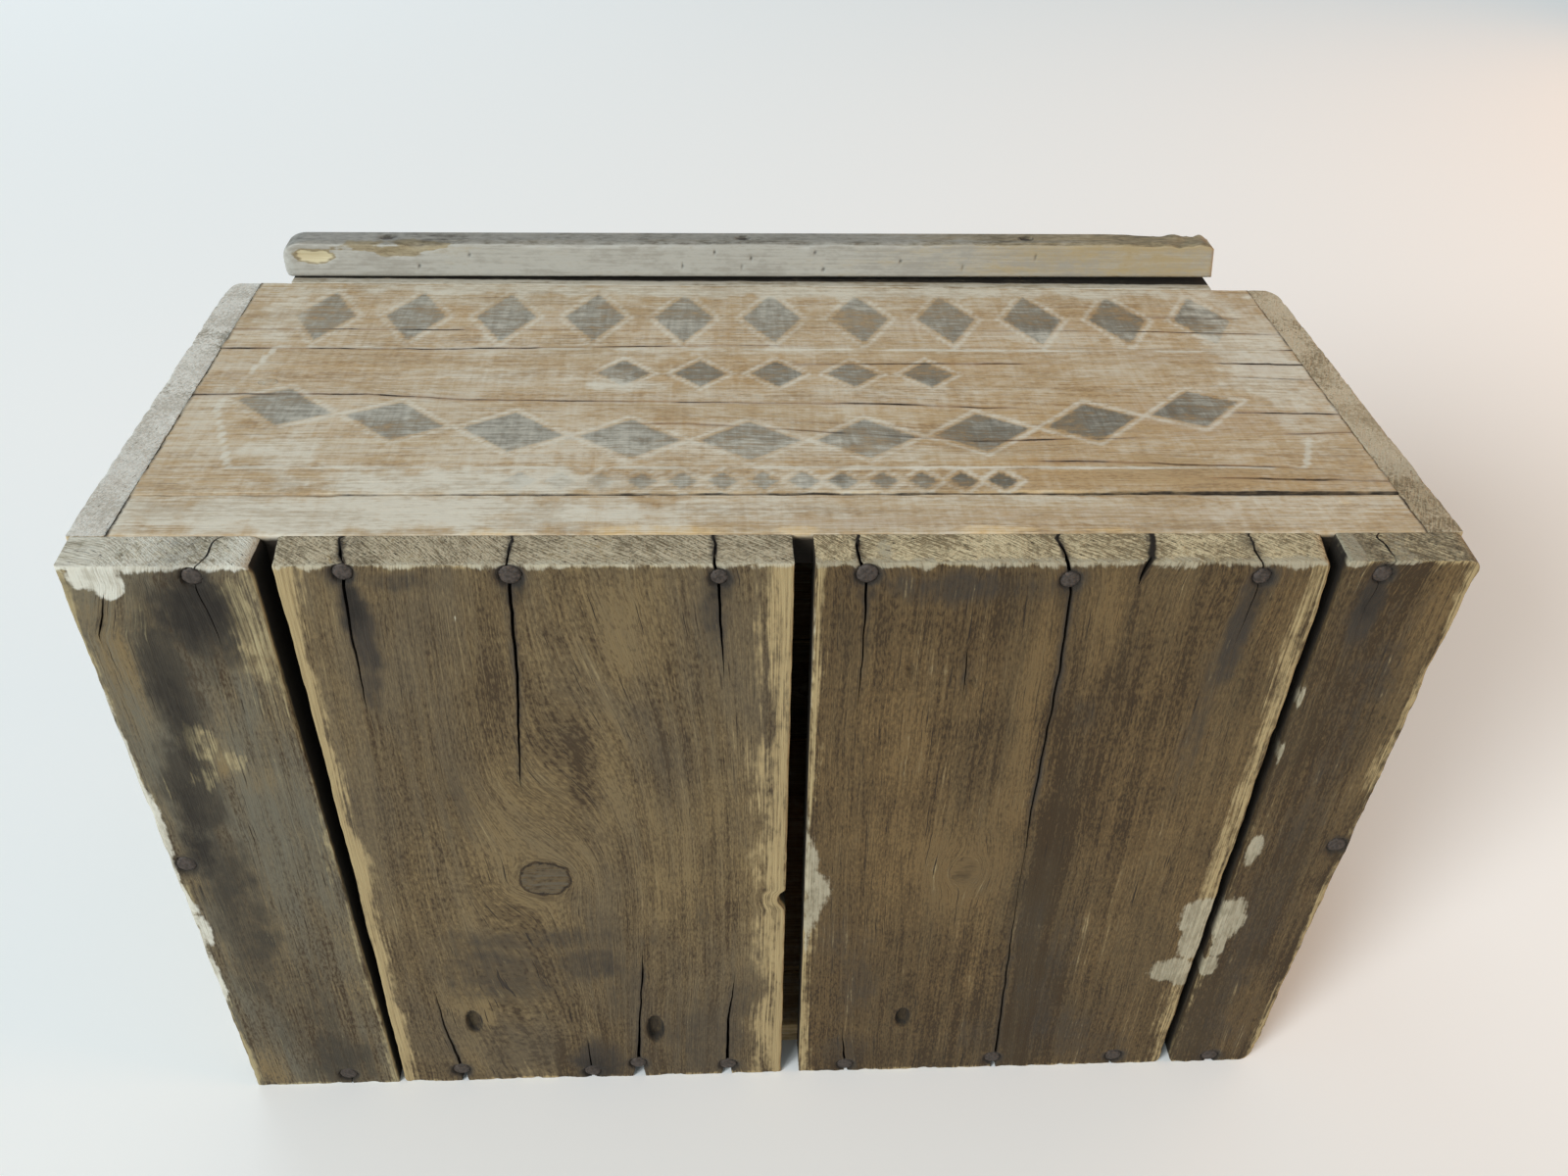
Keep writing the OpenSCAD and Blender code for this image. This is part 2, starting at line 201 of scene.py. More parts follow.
# What all the woods here share, unless a look says otherwise
pineLook = {
    "vivid": 1.0,       # how strongly the grain shows
    "sawSlant": 38,     # degrees, the saw's marks on the cut ends
    "colours": {
        "endDark": "#8d8069", "endLight": "#b5aa93", "stencil": "#565349", "creviceShade": "#1d1812",
    },
}


# Old softwood. The fields laid on each board say where it is stained, worn, painted, stencilled or dirty, and
# where it is given painted shade, and the grain breaks up their borders.
def agedWood(name, look):
    look = {**pineLook, **look, "colours": {**pineLook["colours"], **look["colours"]}}
    material = bpy.data.materials.new(name)
    material.use_nodes = True
    tree = material.node_tree
    tree.nodes.clear()
    colour = {key: linear(value) for key, value in look["colours"].items()}
    field = {key: addNode(tree, "ShaderNodeAttribute", attribute_name=key).outputs["Fac"]
             for key in fieldNames}
    grain, vivid = look["grain"], look["vivid"]
    shift = addNode(tree, "ShaderNodeVectorMath", {0: (0.31, 0.17, 0.53), "Scale": field["seed"]},
                    operation="SCALE").outputs[0]
    bent = addNode(tree, "ShaderNodeCombineXYZ", {look["across"]: field["bend"]}).outputs[0]
    origin = addNode(tree, "ShaderNodeTexCoord").outputs["Object"]
    place = origin      # each board takes its own stretch of the patterns, turned aside by its knots
    for offset in (shift, bent):
        place = addNode(tree, "ShaderNodeVectorMath", {0: place, 1: offset}, operation="ADD").outputs[0]

    # Patterns, by their length along the grain and across it in mm
    fibre = grainPattern(tree, place, grain, 34, 0.8, 3)
    streak = grainPattern(tree, place, grain, 120, 3.4, 3)
    ring = grainPattern(tree, place, grain, 260, look["ringWidth"], 2, 0.5)
    cloud = grainPattern(tree, place, grain, 34, 22, 5, 0.4)
    drift = grainPattern(tree, place, grain, 90, 34, 3, 0.3)
    fuzz = grainPattern(tree, place, grain, 2.6, 0.8, 4)
    sawn = grainPattern(tree, place, grain, 2.4, 26, 3, 0.4)
    check = grainPattern(tree, place, grain, 24, 0.45, 1.5)
    flake = grainPattern(tree, place, grain, 4.5, 2.0, 5)
    pores = grainPattern(tree, place, grain, 1.1, 1.1, 3)
    speck = grainPattern(tree, origin, grain, 2.4, 2.4, 5)

    # Bare wood: three tones along the grain, greyed in drifts, with dark hairline checks
    tone = blendFields(tree, 0.5, [
        (fibre, 0.6 * vivid), (streak, 0.5 * vivid), (ring, 0.3), (cloud, 0.5 * vivid), (fuzz, vivid),
        (sawn, 0.15), (field["tint"], 1.0)])
    greyed = raggedMask(tree, 0.5, 0.25, 0.85, [(drift, 1.3), (streak, 0.8), (fuzz, 0.6)])
    greyed = addNode(tree, "ShaderNodeMath", {0: greyed, 1: look["greyed"]}, operation="MULTIPLY").outputs[0]
    wood = layCoats(tree, colour["dark"], (raggedMask(tree, tone, 0.25, 0.5), colour["mid"]),
                    (raggedMask(tree, tone, 0.5, 0.85), colour["light"]), (greyed, colour["grey"]),
                    (raggedMask(tree, check, 0.35, 0.28), colour["check"]))

    # Knots: a cracked dark ring round a dull grey heart
    rough = blendFields(tree, field["knot"], [(speck, 0.3)])
    rim = layCoats(tree, colour["check"], (raggedMask(tree, speck, 0.4, 0.62), colour["dark"]))
    heart = layCoats(tree, colour["dark"], (raggedMask(tree, speck, 0.3, 0.6), colour["mid"]),
                     (raggedMask(tree, pores, 0.35, 0.7), colour["grey"]))
    wood = layCoats(tree, wood, (raggedMask(tree, rough, -0.1, -0.02), rim),
                    (raggedMask(tree, rough, 0.03, 0.11), heart))

    # Cut end of the board: open pores and the saw's slanting marks
    slant = [0.0, 0.0, 0.0]
    slant["XYZ".index(grain)] = math.radians(look["sawSlant"])
    turned = addNode(tree, "ShaderNodeMapping", {"Vector": place, "Rotation": slant}).outputs[0]
    marks = grainPattern(tree, turned, look["across"], 7, 0.65, 3)
    pits = grainPattern(tree, turned, look["across"], 2.6, 0.7, 3, 0.6)
    cut = raggedMask(tree, 0.5, 0.25, 0.7, [(marks, 1.3), (pores, 0.9), (cloud, 0.9)])
    cutEnd = layCoats(tree, colour["endDark"], (cut, colour["endLight"]),
                      (raggedMask(tree, pits, 0.4, 0.3), colour["check"]))

    # Weather and hands: stains, wood rubbed bare, and stencil ink
    stained = raggedMask(tree, field["stain"], 0.1, 1.0, [
        (cloud, 1.3), (streak, 0.8), (fuzz, 0.5), (flake, 0.8)])
    worn = raggedMask(tree, field["worn"], 0.25, 0.8, [
        (fibre, 1.2), (streak, 1.0), (cloud, 1.0), (flake, 1.0)])
    rubbed = layCoats(tree, colour["wornDark"], (raggedMask(tree, fibre, 0.2, 0.7), colour["worn"]))
    inked = raggedMask(tree, field["stencil"], 0.38, 1.05, [
        (fibre, 0.7), (flake, 0.9), (cloud, 1.2), (sawn, 0.2)])
    wood = layCoats(tree, wood, (field["endGrain"], cutEnd), (stained, colour["stain"]), (worn, rubbed),
                    (inked, colour["stencil"]))

    # Paint: soiled where the wood is stained, pitted on the cut ends, and flaked off in the grain's lines
    painted = raggedMask(tree, field["paint"], 0.5 - look["paintEdge"], 0.5 + look["paintEdge"], [
        (flake, 0.6), (fibre, look["paintGrain"]), (cloud, 0.6), (sawn, look["paintSaw"])])
    covered, soiled, endPits = [
        addNode(tree, "ShaderNodeMath", {0: mask, 1: share}, operation="MULTIPLY").outputs[0]
        for mask, share in ((painted, look["paintCover"]), (stained, look["paintStain"]),
                            (raggedMask(tree, pits, 0.36, 0.28), field["endGrain"]))]
    fresh = raggedMask(tree, 0.5, 0.3, 0.65, [(flake, 0.8), (fibre, 0.8), (cloud, 1.0)])
    coat = layCoats(tree, colour["paintDull"], (fresh, colour["paint"]), (soiled, colour["stain"]),
                    (endPits, colour["check"]))
    # Dirt, and painted shade where boards meet and under the lip; then painted shade in open splits, dents
    # and holes
    dirtAndShadeMask = raggedMask(tree, field["dirtAndShade"], 0.1, 0.95, [
        (cloud, 0.8), (fibre, 0.5), (flake, 0.7), (fuzz, 0.3)])
    wood = layCoats(tree, wood, (covered, coat), (dirtAndShadeMask, colour["dirtAndShade"]),
                    (field["creviceShade"], colour["creviceShade"]))

    height = blendFields(tree, 0.5, [(fibre, 0.5), (check, 0.4), (fuzz, 0.4), (sawn, 0.1)])
    endHeight = blendFields(tree, 0.5, [(marks, 1.4), (pores, 0.9)])
    height = addNode(tree, "ShaderNodeMix", {0: field["endGrain"], 2: height, 3: endHeight}).outputs[0]
    height = blendFields(tree, height, [(painted, 0.12)])
    bump = addNode(tree, "ShaderNodeBump", {
        "Strength": 1.0, "Distance": look["relief"] * mm, "Height": height})
    roughness = addNode(tree, "ShaderNodeMix", {0: painted, 2: look["roughness"], 3: look["paintRoughness"]})
    shader = addNode(tree, "ShaderNodeBsdfPrincipled", {
        "Base Color": wood, "Roughness": roughness.outputs[0], "Normal": bump.outputs[0],
        "IOR": 1.5, "Specular IOR Level": look["sheen"]})
    addNode(tree, "ShaderNodeOutputMaterial", {"Surface": shader.outputs[0]})
    return material


# Softwood left outdoors and handled for decades: grey-brown, dirty, with raised fibres that take
# the light in fine streaks, bright where its arrises have rubbed
weatheredLook = {
    "grain": "Z", "across": "X", "ringWidth": 9, "greyed": 0.5, "vivid": 1.5,
    "colours": {
        "dark": "#3f311f", "mid": "#5d4d34", "light": "#796645", "grey": "#5a5142", "check": "#2a2117",
        "endDark": "#70654f", "endLight": "#bbaf95", "stain": "#39322a", "dirtAndShade": "#241f19",
        "worn": "#a6926a", "wornDark": "#897653", "paint": "#b7af98", "paintDull": "#958b74",
    },
    "paintGrain": 0.3, "paintSaw": 0.2, "paintStain": 0.25, "paintEdge": 0.12, "paintCover": 0.88,
    "relief": 0.4, "roughness": 0.84, "paintRoughness": 0.7, "sheen": 0.3,
}
weatheredPine = agedWood("weatheredPine", weatheredLook)
# The plank that lay most in the rain: the same pine gone silver grey between its stains
silveredPine = agedWood("silveredPine", {**weatheredLook, "greyed": 0.9, "colours": {
    **weatheredLook["colours"], "mid": "#5c503c", "grey": "#625e51", "stain": "#3b352b", "paint": "#d2cfc1",
    "paintDull": "#b5af9e", "endDark": "#7c7461", "endLight": "#d3cdb8", "worn": "#9f926f"}})
# Planks that lay dry: the same pine gone a warmer, darker brown
brownedPine = agedWood("brownedPine", {**weatheredLook, "greyed": 0.35, "colours": {
    **weatheredLook["colours"], "dark": "#3a2c1a", "mid": "#57452b", "light": "#705a39", "grey": "#504633",
    "endDark": "#7b6d52", "endLight": "#cfc09c", "paint": "#a89f88", "paintDull": "#8b826b"}})
# Planed pine kept mostly dry: warm tan, under a thin whitish wash rubbed down to the grain
washedPine = agedWood("washedPine", {
    "grain": "X", "across": "Y", "ringWidth": 6, "greyed": 0.25,
    "colours": {
        "dark": "#977b57", "mid": "#b2946a", "light": "#c3a87c", "grey": "#a49a82", "check": "#77614a",
        "stain": "#9c7a58", "dirtAndShade": "#2b2319", "worn": "#d8b57a", "wornDark": "#b3935f",
        "paint": "#d9d5c6", "paintDull": "#c2bbaa", "creviceShade": "#2c2218",
    },
    "paintGrain": 0.6, "paintSaw": 0.35, "paintStain": 0.2, "paintEdge": 0.38, "paintCover": 0.85,
    "relief": 0.22, "roughness": 0.72, "paintRoughness": 0.75, "sheen": 0.35,
})
# Rough-sawn ends, painted pale grey on the edges that show: chalky, with open pits in the end grain
chalkyLook = {
    "grain": "Z", "across": "Y", "ringWidth": 8, "greyed": 0.5, "sawSlant": 24,
    "colours": {
        "dark": "#6f583c", "mid": "#957a55", "light": "#b0956c", "grey": "#8b8373", "check": "#5b472f",
        "endDark": "#77705f", "endLight": "#a8a294", "stain": "#5c5547", "dirtAndShade": "#2b2620",
        "worn": "#b9a47e", "wornDark": "#94815f", "paint": "#dcd9d0", "paintDull": "#bdb7ab",
        "creviceShade": "#2a2620",
    },
    "paintGrain": 0.5, "paintSaw": 0.12, "paintStain": 0.3, "paintEdge": 0.14, "paintCover": 0.92,
    "relief": 0.3, "roughness": 0.85, "paintRoughness": 0.8, "sheen": 0.25,
}
chalkyPine = agedWood("chalkyPine", chalkyLook)
# The other end, where the paint has gone dusty tan
dustyPine = agedWood("dustyPine", {**chalkyLook, "colours": {
    **chalkyLook["colours"], "endDark": "#7b6c54", "endLight": "#b09f82", "paint": "#c3b59c",
    "paintDull": "#a39378"}})
# Lid boards: the same pine, planed, a little dirtier than the front
lidPine = agedWood("lidPine", {
    "grain": "X", "across": "Z", "ringWidth": 7, "greyed": 0.5,
    "colours": {
        "dark": "#69543a", "mid": "#8c7350", "light": "#a98e66", "grey": "#857c69", "check": "#5c4930",
        "endDark": "#766b55", "endLight": "#a0957d", "stain": "#4c4336", "dirtAndShade": "#221d16",
        "worn": "#b9a177", "wornDark": "#94805a", "paint": "#bfbcb0", "paintDull": "#a49e8e",
    },
    "paintGrain": 0.9, "paintSaw": 0.12, "paintStain": 0.3, "paintEdge": 0.2, "paintCover": 0.85,
    "relief": 0.25, "roughness": 0.78, "paintRoughness": 0.75, "sheen": 0.3,
})
# Lip: pine under worn oil paint, smooth and pale grey, chipped to yellow wood at its end
greyPaintedPine = agedWood("greyPaintedPine", {
    "grain": "X", "across": "Y", "ringWidth": 5, "greyed": 0.2,
    "colours": {
        "dark": "#81745b", "mid": "#968a6f", "light": "#a99c7e", "grey": "#938b76", "check": "#786b52",
        "stain": "#a8946a", "dirtAndShade": "#3a342a", "worn": "#d2c8a6", "wornDark": "#bcad88",
        "paint": "#b3b2aa", "paintDull": "#a09d94", "creviceShade": "#2a251e",
    },
    "paintGrain": 0.4, "paintSaw": 0.2, "paintStain": 0.85, "paintEdge": 0.12, "paintCover": 0.95,
    "relief": 0.12, "roughness": 0.6, "paintRoughness": 0.55, "sheen": 0.4,
})


# Steel wire nails, rusted dark: a dull brown-black skin with purple-grey scale
def rustedWire(name):
    material = bpy.data.materials.new(name)
    material.use_nodes = True
    tree = material.node_tree
    shader = tree.nodes["Principled BSDF"]
    origin = addNode(tree, "ShaderNodeTexCoord").outputs["Object"]
    scale = grainPattern(tree, origin, "X", 1.4, 1.4, 4)
    dust = grainPattern(tree, origin, "X", 0.5, 0.5, 3)
    skin = layCoats(tree, linear("#322b25"), (raggedMask(tree, scale, 0.35, 0.65), linear("#4f4640")),
                    (raggedMask(tree, dust, 0.55, 0.7), linear("#5f4936")))
    bump = addNode(tree, "ShaderNodeBump", {"Strength": 1.0, "Distance": 0.15 * mm, "Height": scale})
    tree.links.new(skin, shader.inputs["Base Color"])
    tree.links.new(bump.outputs[0], shader.inputs["Normal"])
    shader.inputs["Metallic"].default_value = 0.35
    shader.inputs["Roughness"].default_value = 0.62
    return material


rustyNail = rustedWire("rustedWire")
print("materials made")


# Soft random field from 0 to 1, with one bump to a unit
def smoothNoise(x, y, seed):
    table = np.random.RandomState(seed).rand(64, 64)
    x, y = np.broadcast_arrays(np.asarray(x, float), np.asarray(y, float))
    x0, y0 = np.floor(x).astype(int), np.floor(y).astype(int)
    fx, fy = x - x0, y - y0
    fx, fy = fx * fx * (3 - 2 * fx), fy * fy * (3 - 2 * fy)
    low = table[x0 % 64, y0 % 64] * (1 - fx) + table[(x0 + 1) % 64, y0 % 64] * fx
    high = table[x0 % 64, (y0 + 1) % 64] * (1 - fx) + table[(x0 + 1) % 64, (y0 + 1) % 64] * fx
    return low * (1 - fy) + high * fy


def layeredNoise(x, y, seed, layers=3):
    total = sum(smoothNoise(x * 2 ** i, y * 2 ** i, seed + i) / 2 ** i for i in range(layers))
    return total / (2 - 2 ** (1 - layers))


# Lines of a board's mesh: close together at both ends, even between them
def gradedSteps(start, end, step, extra=()):
    nearEnd = [0, 0.4, 1.0, 1.8, 2.8, 4.2]
    middle = np.linspace(start + 5.6, end - 5.6, max(2, int((end - start - 11.2) / step) + 1))
    steps = [start + s for s in nearEnd] + list(middle) + [end - s for s in nearEnd]
    steps += [e for e in extra if start + 4.2 < e < end - 4.2]
    steps = np.sort(np.array(steps))
    return steps[np.append(True, np.diff(steps) > 0.2)]


# Value of a profile, given as pairs of place and value, at each u
def along(u, pairs):
    pairs = sorted(pairs)
    return np.interp(u, [p[0] for p in pairs], [p[1] for p in pairs])


# Rounds an arris between two faces: moves places a and b, which lie at depths under those faces, the
# given ways, where the faces are nearer than the reaches
def roundArris(a, b, depthA, depthB, reachA, reachB, wayA, wayB):
    nearA = np.clip(1 - depthA / reachA, 0, 1)
    nearB = np.clip(1 - depthB / reachB, 0, 1)
    a = a + wayA * reachA * (nearA - nearA * np.sqrt(1 - nearB * nearB / 2))
    b = b + wayB * reachB * (nearB - nearB * np.sqrt(1 - nearA * nearA / 2))
    return a, b


# Strength of soft or sharp blots, each given as place along and across, reach along and across, strength
def blots(u, v, marks, seed, ragged=0.5):
    field = np.zeros_like(u)
    wobble = layeredNoise(u / 7, v / 7, seed) - 0.5
    for markU, markV, reachU, reachV, strength in marks:
        reach = np.hypot((u - markU) / reachU, (v - markV) / reachV) + 2 * ragged * wobble
        field = np.maximum(field, strength * np.clip(1.5 - reach, 0, 1))
    return field


def skinOfLattice(countU, countV, countW):
    onSkin = np.zeros((countU, countV, countW), bool)
    onSkin[[0, -1]] = onSkin[:, [0, -1]] = onSkin[:, :, [0, -1]] = True
    index = np.full(onSkin.shape, -1)
    index[onSkin] = np.arange(onSkin.sum())
    sheets = [(index[:, :, -1], 1), (index[:, :, 0], -1), (index[:, -1], -1),
              (index[:, 0], 1), (index[-1], 1), (index[0], -1)]
    quads = []
    for sheet, way in sheets:
        quad = np.stack([sheet[:-1, :-1], sheet[1:, :-1], sheet[1:, 1:], sheet[:-1, 1:]], -1)
        quads.append(quad.reshape(-1, 4)[:, ::way])
    return np.argwhere(onSkin).T, np.concatenate(quads)


# Across a split: sideways place (in widths of its opening, then in mm beyond it) and depth
splitColumns = [(-1, -1.6, 0), (-1, -0.5, 0), (-1, 0, 0), (-0.8, 0, 0.4), (-0.5, 0, 0.75), (0, 0, 1),
                (0.5, 0, 0.75), (0.8, 0, 0.4), (1, 0, 0), (1, 0.5, 0), (1, 1.6, 0)]
splitReach = 1.6        # mm that its outermost columns lie beyond its lips
splitMark = 1.64        # mm from its middle that they stand at in the even row of columns
splitClear = 2.3        # mm from its middle that the even columns keep


# What a board is unless its own look says otherwise, in mm. A mark is a place along the grain and
# across it, its reach along and across, and a strength.
boardLook = {
    "rows": (), "ripple": 0.35, "ragged": (0, 0),       # more rows of mesh; how wavy and torn its edges are
    "left": None, "right": None, "notches": (),         # edge lines, if they aren't its box's, and bites
    "splits": (), "splitShow": 0.4, "splitGrime": 0,
    "dents": (), "knots": (), "swirls": (), "tongues": (),
    "nails": (), "nailGrime": 0.8, "nailStain": 0.95,
    "relief": 0.22, "torn": 0.35, "arris": 1.6, "rimWear": None, "endArris": 1.1, "corners": (), "flares": (),
    "worn": (), "wornLeft": (0.6, 3), "wornRight": (0.6, 3), "wornEnds": 0.6,
    # Dirt blots and painted shade where boards meet; painted shade on the side faces from some mm below the
    # face that shows, at the ends, and on the upper edge under the lid's lip down to some mm
    "dirtAndShade": (), "shadedSides": (0, 0), "sideShadeFrom": 1, "shadedEnds": 0, "shadeUnderLip": 0,
    "stains": (), "endStain": 0, "tint": 0, "pale": (), "dim": (), "bare": (),
    "paint": (), "paintRagged": 0.45, "paintAll": 0, "paintEnds": 0, "paintSides": 0, "paintLip": 0,
    "lipReach": 2.2, "stencil": None,
}


# Lines of a board's left and right edges, rippled, torn and bitten
def boardEdges(look, uSteps, vLow, vHigh, seed):
    edges = []
    for side, key, plain in ((1, "left", vLow), (-1, "right", vHigh)):
        line = along(uSteps, look[key]) if look[key] else plain
        slow = np.abs(layeredNoise(uSteps / 22, 0, seed + 3 * side) - 0.5) * 2 * look["ripple"]
        torn = np.clip(layeredNoise(uSteps / 5, 0.5, seed + 5 * side) - 0.45, 0, 1) * look["ragged"][side < 0]
        edges.append(line + side * (slow + torn))
    for notchU, reach, deep, side in look["notches"]:
        bite = deep * np.sqrt(np.clip(1 - ((uSteps - notchU) / reach) ** 2, 0, 1))
        edges[side > 0] = edges[side > 0] - side * bite
    return edges


# Columns of a board's mesh: even ones, and a set that follows each split, whose middle ones sink into it
def splitLattice(look, uSteps, even, edges, paths, gapes):
    vLow, vHigh = even[0], even[-1]
    bases = [float(along((uSteps[0] + uSteps[-1]) / 2, split["path"])) for split in look["splits"]]
    columns = [(v, -1, 0, 0, 0) for v in even if all(abs(v - base) > splitClear for base in bases)]
    for number, base in enumerate(bases):
        columns += [(base + 0.2 * spread + 0.9 * beyond, number, spread, beyond, depth)
                    for spread, beyond, depth in splitColumns]
    base, owner, spread, beyond, depth = np.array(sorted(columns)).T
    across = np.empty((len(uSteps), len(base)))
    sink = np.zeros_like(across)
    order = np.argsort(bases)
    for row in range(len(uSteps)):
        marks, places = [vLow], [edges[0][row]]
        for number in order:
            reach = gapes[number][row] + splitReach
            marks += [bases[number] - splitMark, bases[number] + splitMark]
            places += [paths[number][row] - reach, paths[number][row] + reach]
        across[row] = np.interp(base, marks + [vHigh], places + [edges[1][row]])
    for number, split in enumerate(look["splits"]):
        mine = owner == number
        gape = gapes[number][:, None]
        across[:, mine] = paths[number][:, None] + np.maximum(gape, 0.04) * spread[mine] + beyond[mine]
        deep = split.get("deep", 0.88) * np.clip(gape / 0.45, 0, 1) ** 0.7
        sink[:, mine] = deep * depth[mine]
    return base, owner, beyond, across, sink


# The pit that a nail head is driven into, and the fibres crushed round it, in mm
nailPit = {"radius": 3.95, "deep": 1.5, "crushReach": 2.6, "crushDeep": 0.55}


# A sawn board with worn arrises, splits, dents and sunk nail heads. u runs along its grain, v across
# it and w through it, from its inner face to the face that shows, all in mm.
def makeBoard(name, body, material, look):
    look = {**boardLook, **look}
    lo, hi = cadBox(look["node"])
    uAxis, vAxis = "XYZ".index(look["grain"]), "XYZ".index(look["across"])
    wAxis = 3 - uAxis - vAxis
    outward = look["outward"]
    uLow, uHigh, thick = lo[uAxis], hi[uAxis], hi[wAxis] - lo[wAxis]
    seed = len(boardNames) * 17 + 23
    boardNames.append(name)

    uSteps = gradedSteps(uLow, uHigh, look["step"][0], look["rows"])
    wSteps = gradedSteps(0, thick, 3.2)
    edges = boardEdges(look, uSteps, lo[vAxis], hi[vAxis], seed)
    splits = look["splits"]
    paths = [along(uSteps, split["path"]) + 0.9 * (layeredNoise(uSteps / 9, number, seed + 9) - 0.5)
             for number, split in enumerate(splits)]
    gapes = [along(uSteps, split["open"]) / 2 for split in splits]
    even = gradedSteps(lo[vAxis], hi[vAxis], look["step"][1])
    base, owner, beyond, across, sink = splitLattice(look, uSteps, even, edges, paths, gapes)

    (i, j, k), quads = skinOfLattice(len(uSteps), len(base), len(wSteps))
    u, v, w = uSteps[i], across[i, j], wSteps[k] * (1 - sink[i, j])
    left, right = edges[0][i], edges[1][i]
    bend = base[j] - v
    fromEnd = np.minimum(u - uLow, uHigh - u)
    below = thick - wSteps[k]
    zigzag = (layeredNoise(w / 3.1, owner[j] * 3, seed + 13) - 0.5) * 4.2 * np.exp(-fromEnd / 5)
    behind = np.clip(1 - w / thick, 0, 1) ** 0.5
    v = v + zigzag * (owner[j] >= 0) * (np.abs(beyond[j]) < 1) * behind
    lean = np.zeros_like(u)     # a split that runs askew through the board takes its neighbours along
    for number, split in enumerate(splits):
        near = np.clip(1 - np.abs(v - paths[number][i]) / 16, 0, 1) * np.exp((u - uHigh) / 7)
        lean = lean + split.get("lean", 0) * near * behind
    v = v + lean
    isEnd = (i == 0) | (i == len(uSteps) - 1)
    isLeft, isRight = j == 0, j == len(base) - 1
    onFace = np.clip(1 - (thick - w) / 0.9, 0, 1)
    # Painted shade inside open splits, darker the deeper they sink
    creviceShade = np.clip(sink[i, j] * thick / 2.2, 0, 1)
    dirtAndShade = np.zeros_like(u)

    # Dents, pin holes and sunk nail heads in the face that shows, with painted shade in the dents' bowls and
    # a ring of painted shade on their slopes
    for dentU, dentV, reachU, reachV, deep in look["dents"]:
        reach = np.hypot((u - dentU) / reachU, (v - dentV) / reachV)
        bowl = np.clip((1.08 - reach) / 0.4, 0, 1)
        bowl = bowl * bowl * (3 - 2 * bowl)
        w = w - deep * bowl * onFace
        creviceShade = np.maximum(creviceShade, 0.55 * bowl * min(1, deep / 2) * onFace)
        dirtAndShade = np.maximum(dirtAndShade, np.clip(1 - np.abs(reach - 0.85) / 0.35, 0, 1) * min(1, deep / 2) * onFace)
    nearNail = np.zeros_like(u)
    for nailU, nailV, share in look["nails"]:
        reach = np.hypot(u - nailU, v - nailV) + headRadius * (1 - share)
        crush = np.clip(1 - (reach - nailPit["radius"]) / nailPit["crushReach"], 0, 1) ** 2
        w = w - onFace * np.where(reach < nailPit["radius"], nailPit["deep"], nailPit["crushDeep"] * crush)
        nearNail = np.maximum(nearNail, np.exp(-np.clip(reach - 4, 0, None) / 2.6) * onFace)
        ring = np.clip(1.1 - (reach - headRadius) / 1.1, 0, 1)
        dirtAndShade = np.maximum(dirtAndShade, look["nailGrime"] * ring * onFace)

    # Knots, and swirls over knots below the face, turn the grain aside
    knot = np.full_like(u, -1.0)
    for number, (knotU, knotV, reachU, reachV) in enumerate([*look["knots"], *look["swirls"]]):
        du, dv = (u - knotU) * reachV / reachU, v - knotV
        reach = np.hypot(du, dv) / reachV
        bend = bend - dv * 0.9 / np.maximum(reach, 1) ** 2
        if number < len(look["knots"]):
            knot = np.maximum(knot, 1 - reach + 0.3 * (layeredNoise(u / 4, v / 4, seed + 17) - 0.5))
    # Growth rings that come to the face as nested tongues
    for tongueU, tongueV, length, width in look["tongues"]:
        bend = bend + np.exp(-((v - tongueV) / width) ** 2) * 14 * np.tanh((u - tongueU) / length)

    # Raised fibres on the face, torn fibres on the cut ends
    fibres = layeredNoise(u / 26, (v + bend) / 1.7, seed + 21, 2) - 0.55
    hollows = layeredNoise(u / 60, (v + bend) / 18, seed + 25, 2) - 0.6
    w = w + look["relief"] * (fibres + 1.6 * hollows) * onFace * (knot < 0)
    u = u + look["torn"] * layeredNoise(v / 2.4, w / 2.4, seed + 29) * isEnd * np.where(i == 0, 1, -1)

    # Worn arrises and plan corners
    chip = np.clip(layeredNoise(u / 11, v / 11, seed + 31) * 2 - 0.35, 0.25, 1.6) * (1 - 0.8 * nearNail)
    plainWear = [look["arris"] * chip] * 2
    for edge, wear in ((-1, plainWear), (1, look["rimWear"] or plainWear)):
        deepV = np.clip(v - left if edge < 0 else right - v, 0, None)
        v, w = roundArris(v, w, deepV, thick - w, *wear, -edge, -1)
        v, w = roundArris(v, w, deepV, w, 0.7, 0.7, -edge, 1)
    endChip = np.clip(layeredNoise(v / 4.5, i * 0.0, seed + 33) * 2.6 - 0.7, 0.3, 1.9) * (1 - 0.8 * nearNail)
    endWear = [look["endArris"] * endChip] * 2
    for edge in (-1, 1):
        deepU = np.clip(u - uLow if edge < 0 else uHigh - u, 0, None)
        u, w = roundArris(u, w, deepU, thick - w, *endWear, -edge, -1)
        u, w = roundArris(u, w, deepU, w, 0.6, 0.6, -edge, 1)
    for endU, endV, reach in look["corners"]:
        deepU = np.clip(u - uLow if endU < 0 else uHigh - u, 0, None)
        deepV = np.clip(v - left if endV < 0 else right - v, 0, None)
        u, v = roundArris(u, v, deepU, deepV, reach, reach, -endU, -endV)

    # Planks sawn askew: how far an edge's upper end stands out in front and at the back, and over what length
    for side, inFront, atBack, length in look["flares"]:
        fromEdge = v - left if side < 0 else right - v
        flare = inFront + (atBack - inFront) * np.clip(1 - w / thick, 0, 1)
        v = v + side * flare * np.exp(-(uHigh - u) / length) * np.clip(1 - fromEdge / 14, 0, 1)

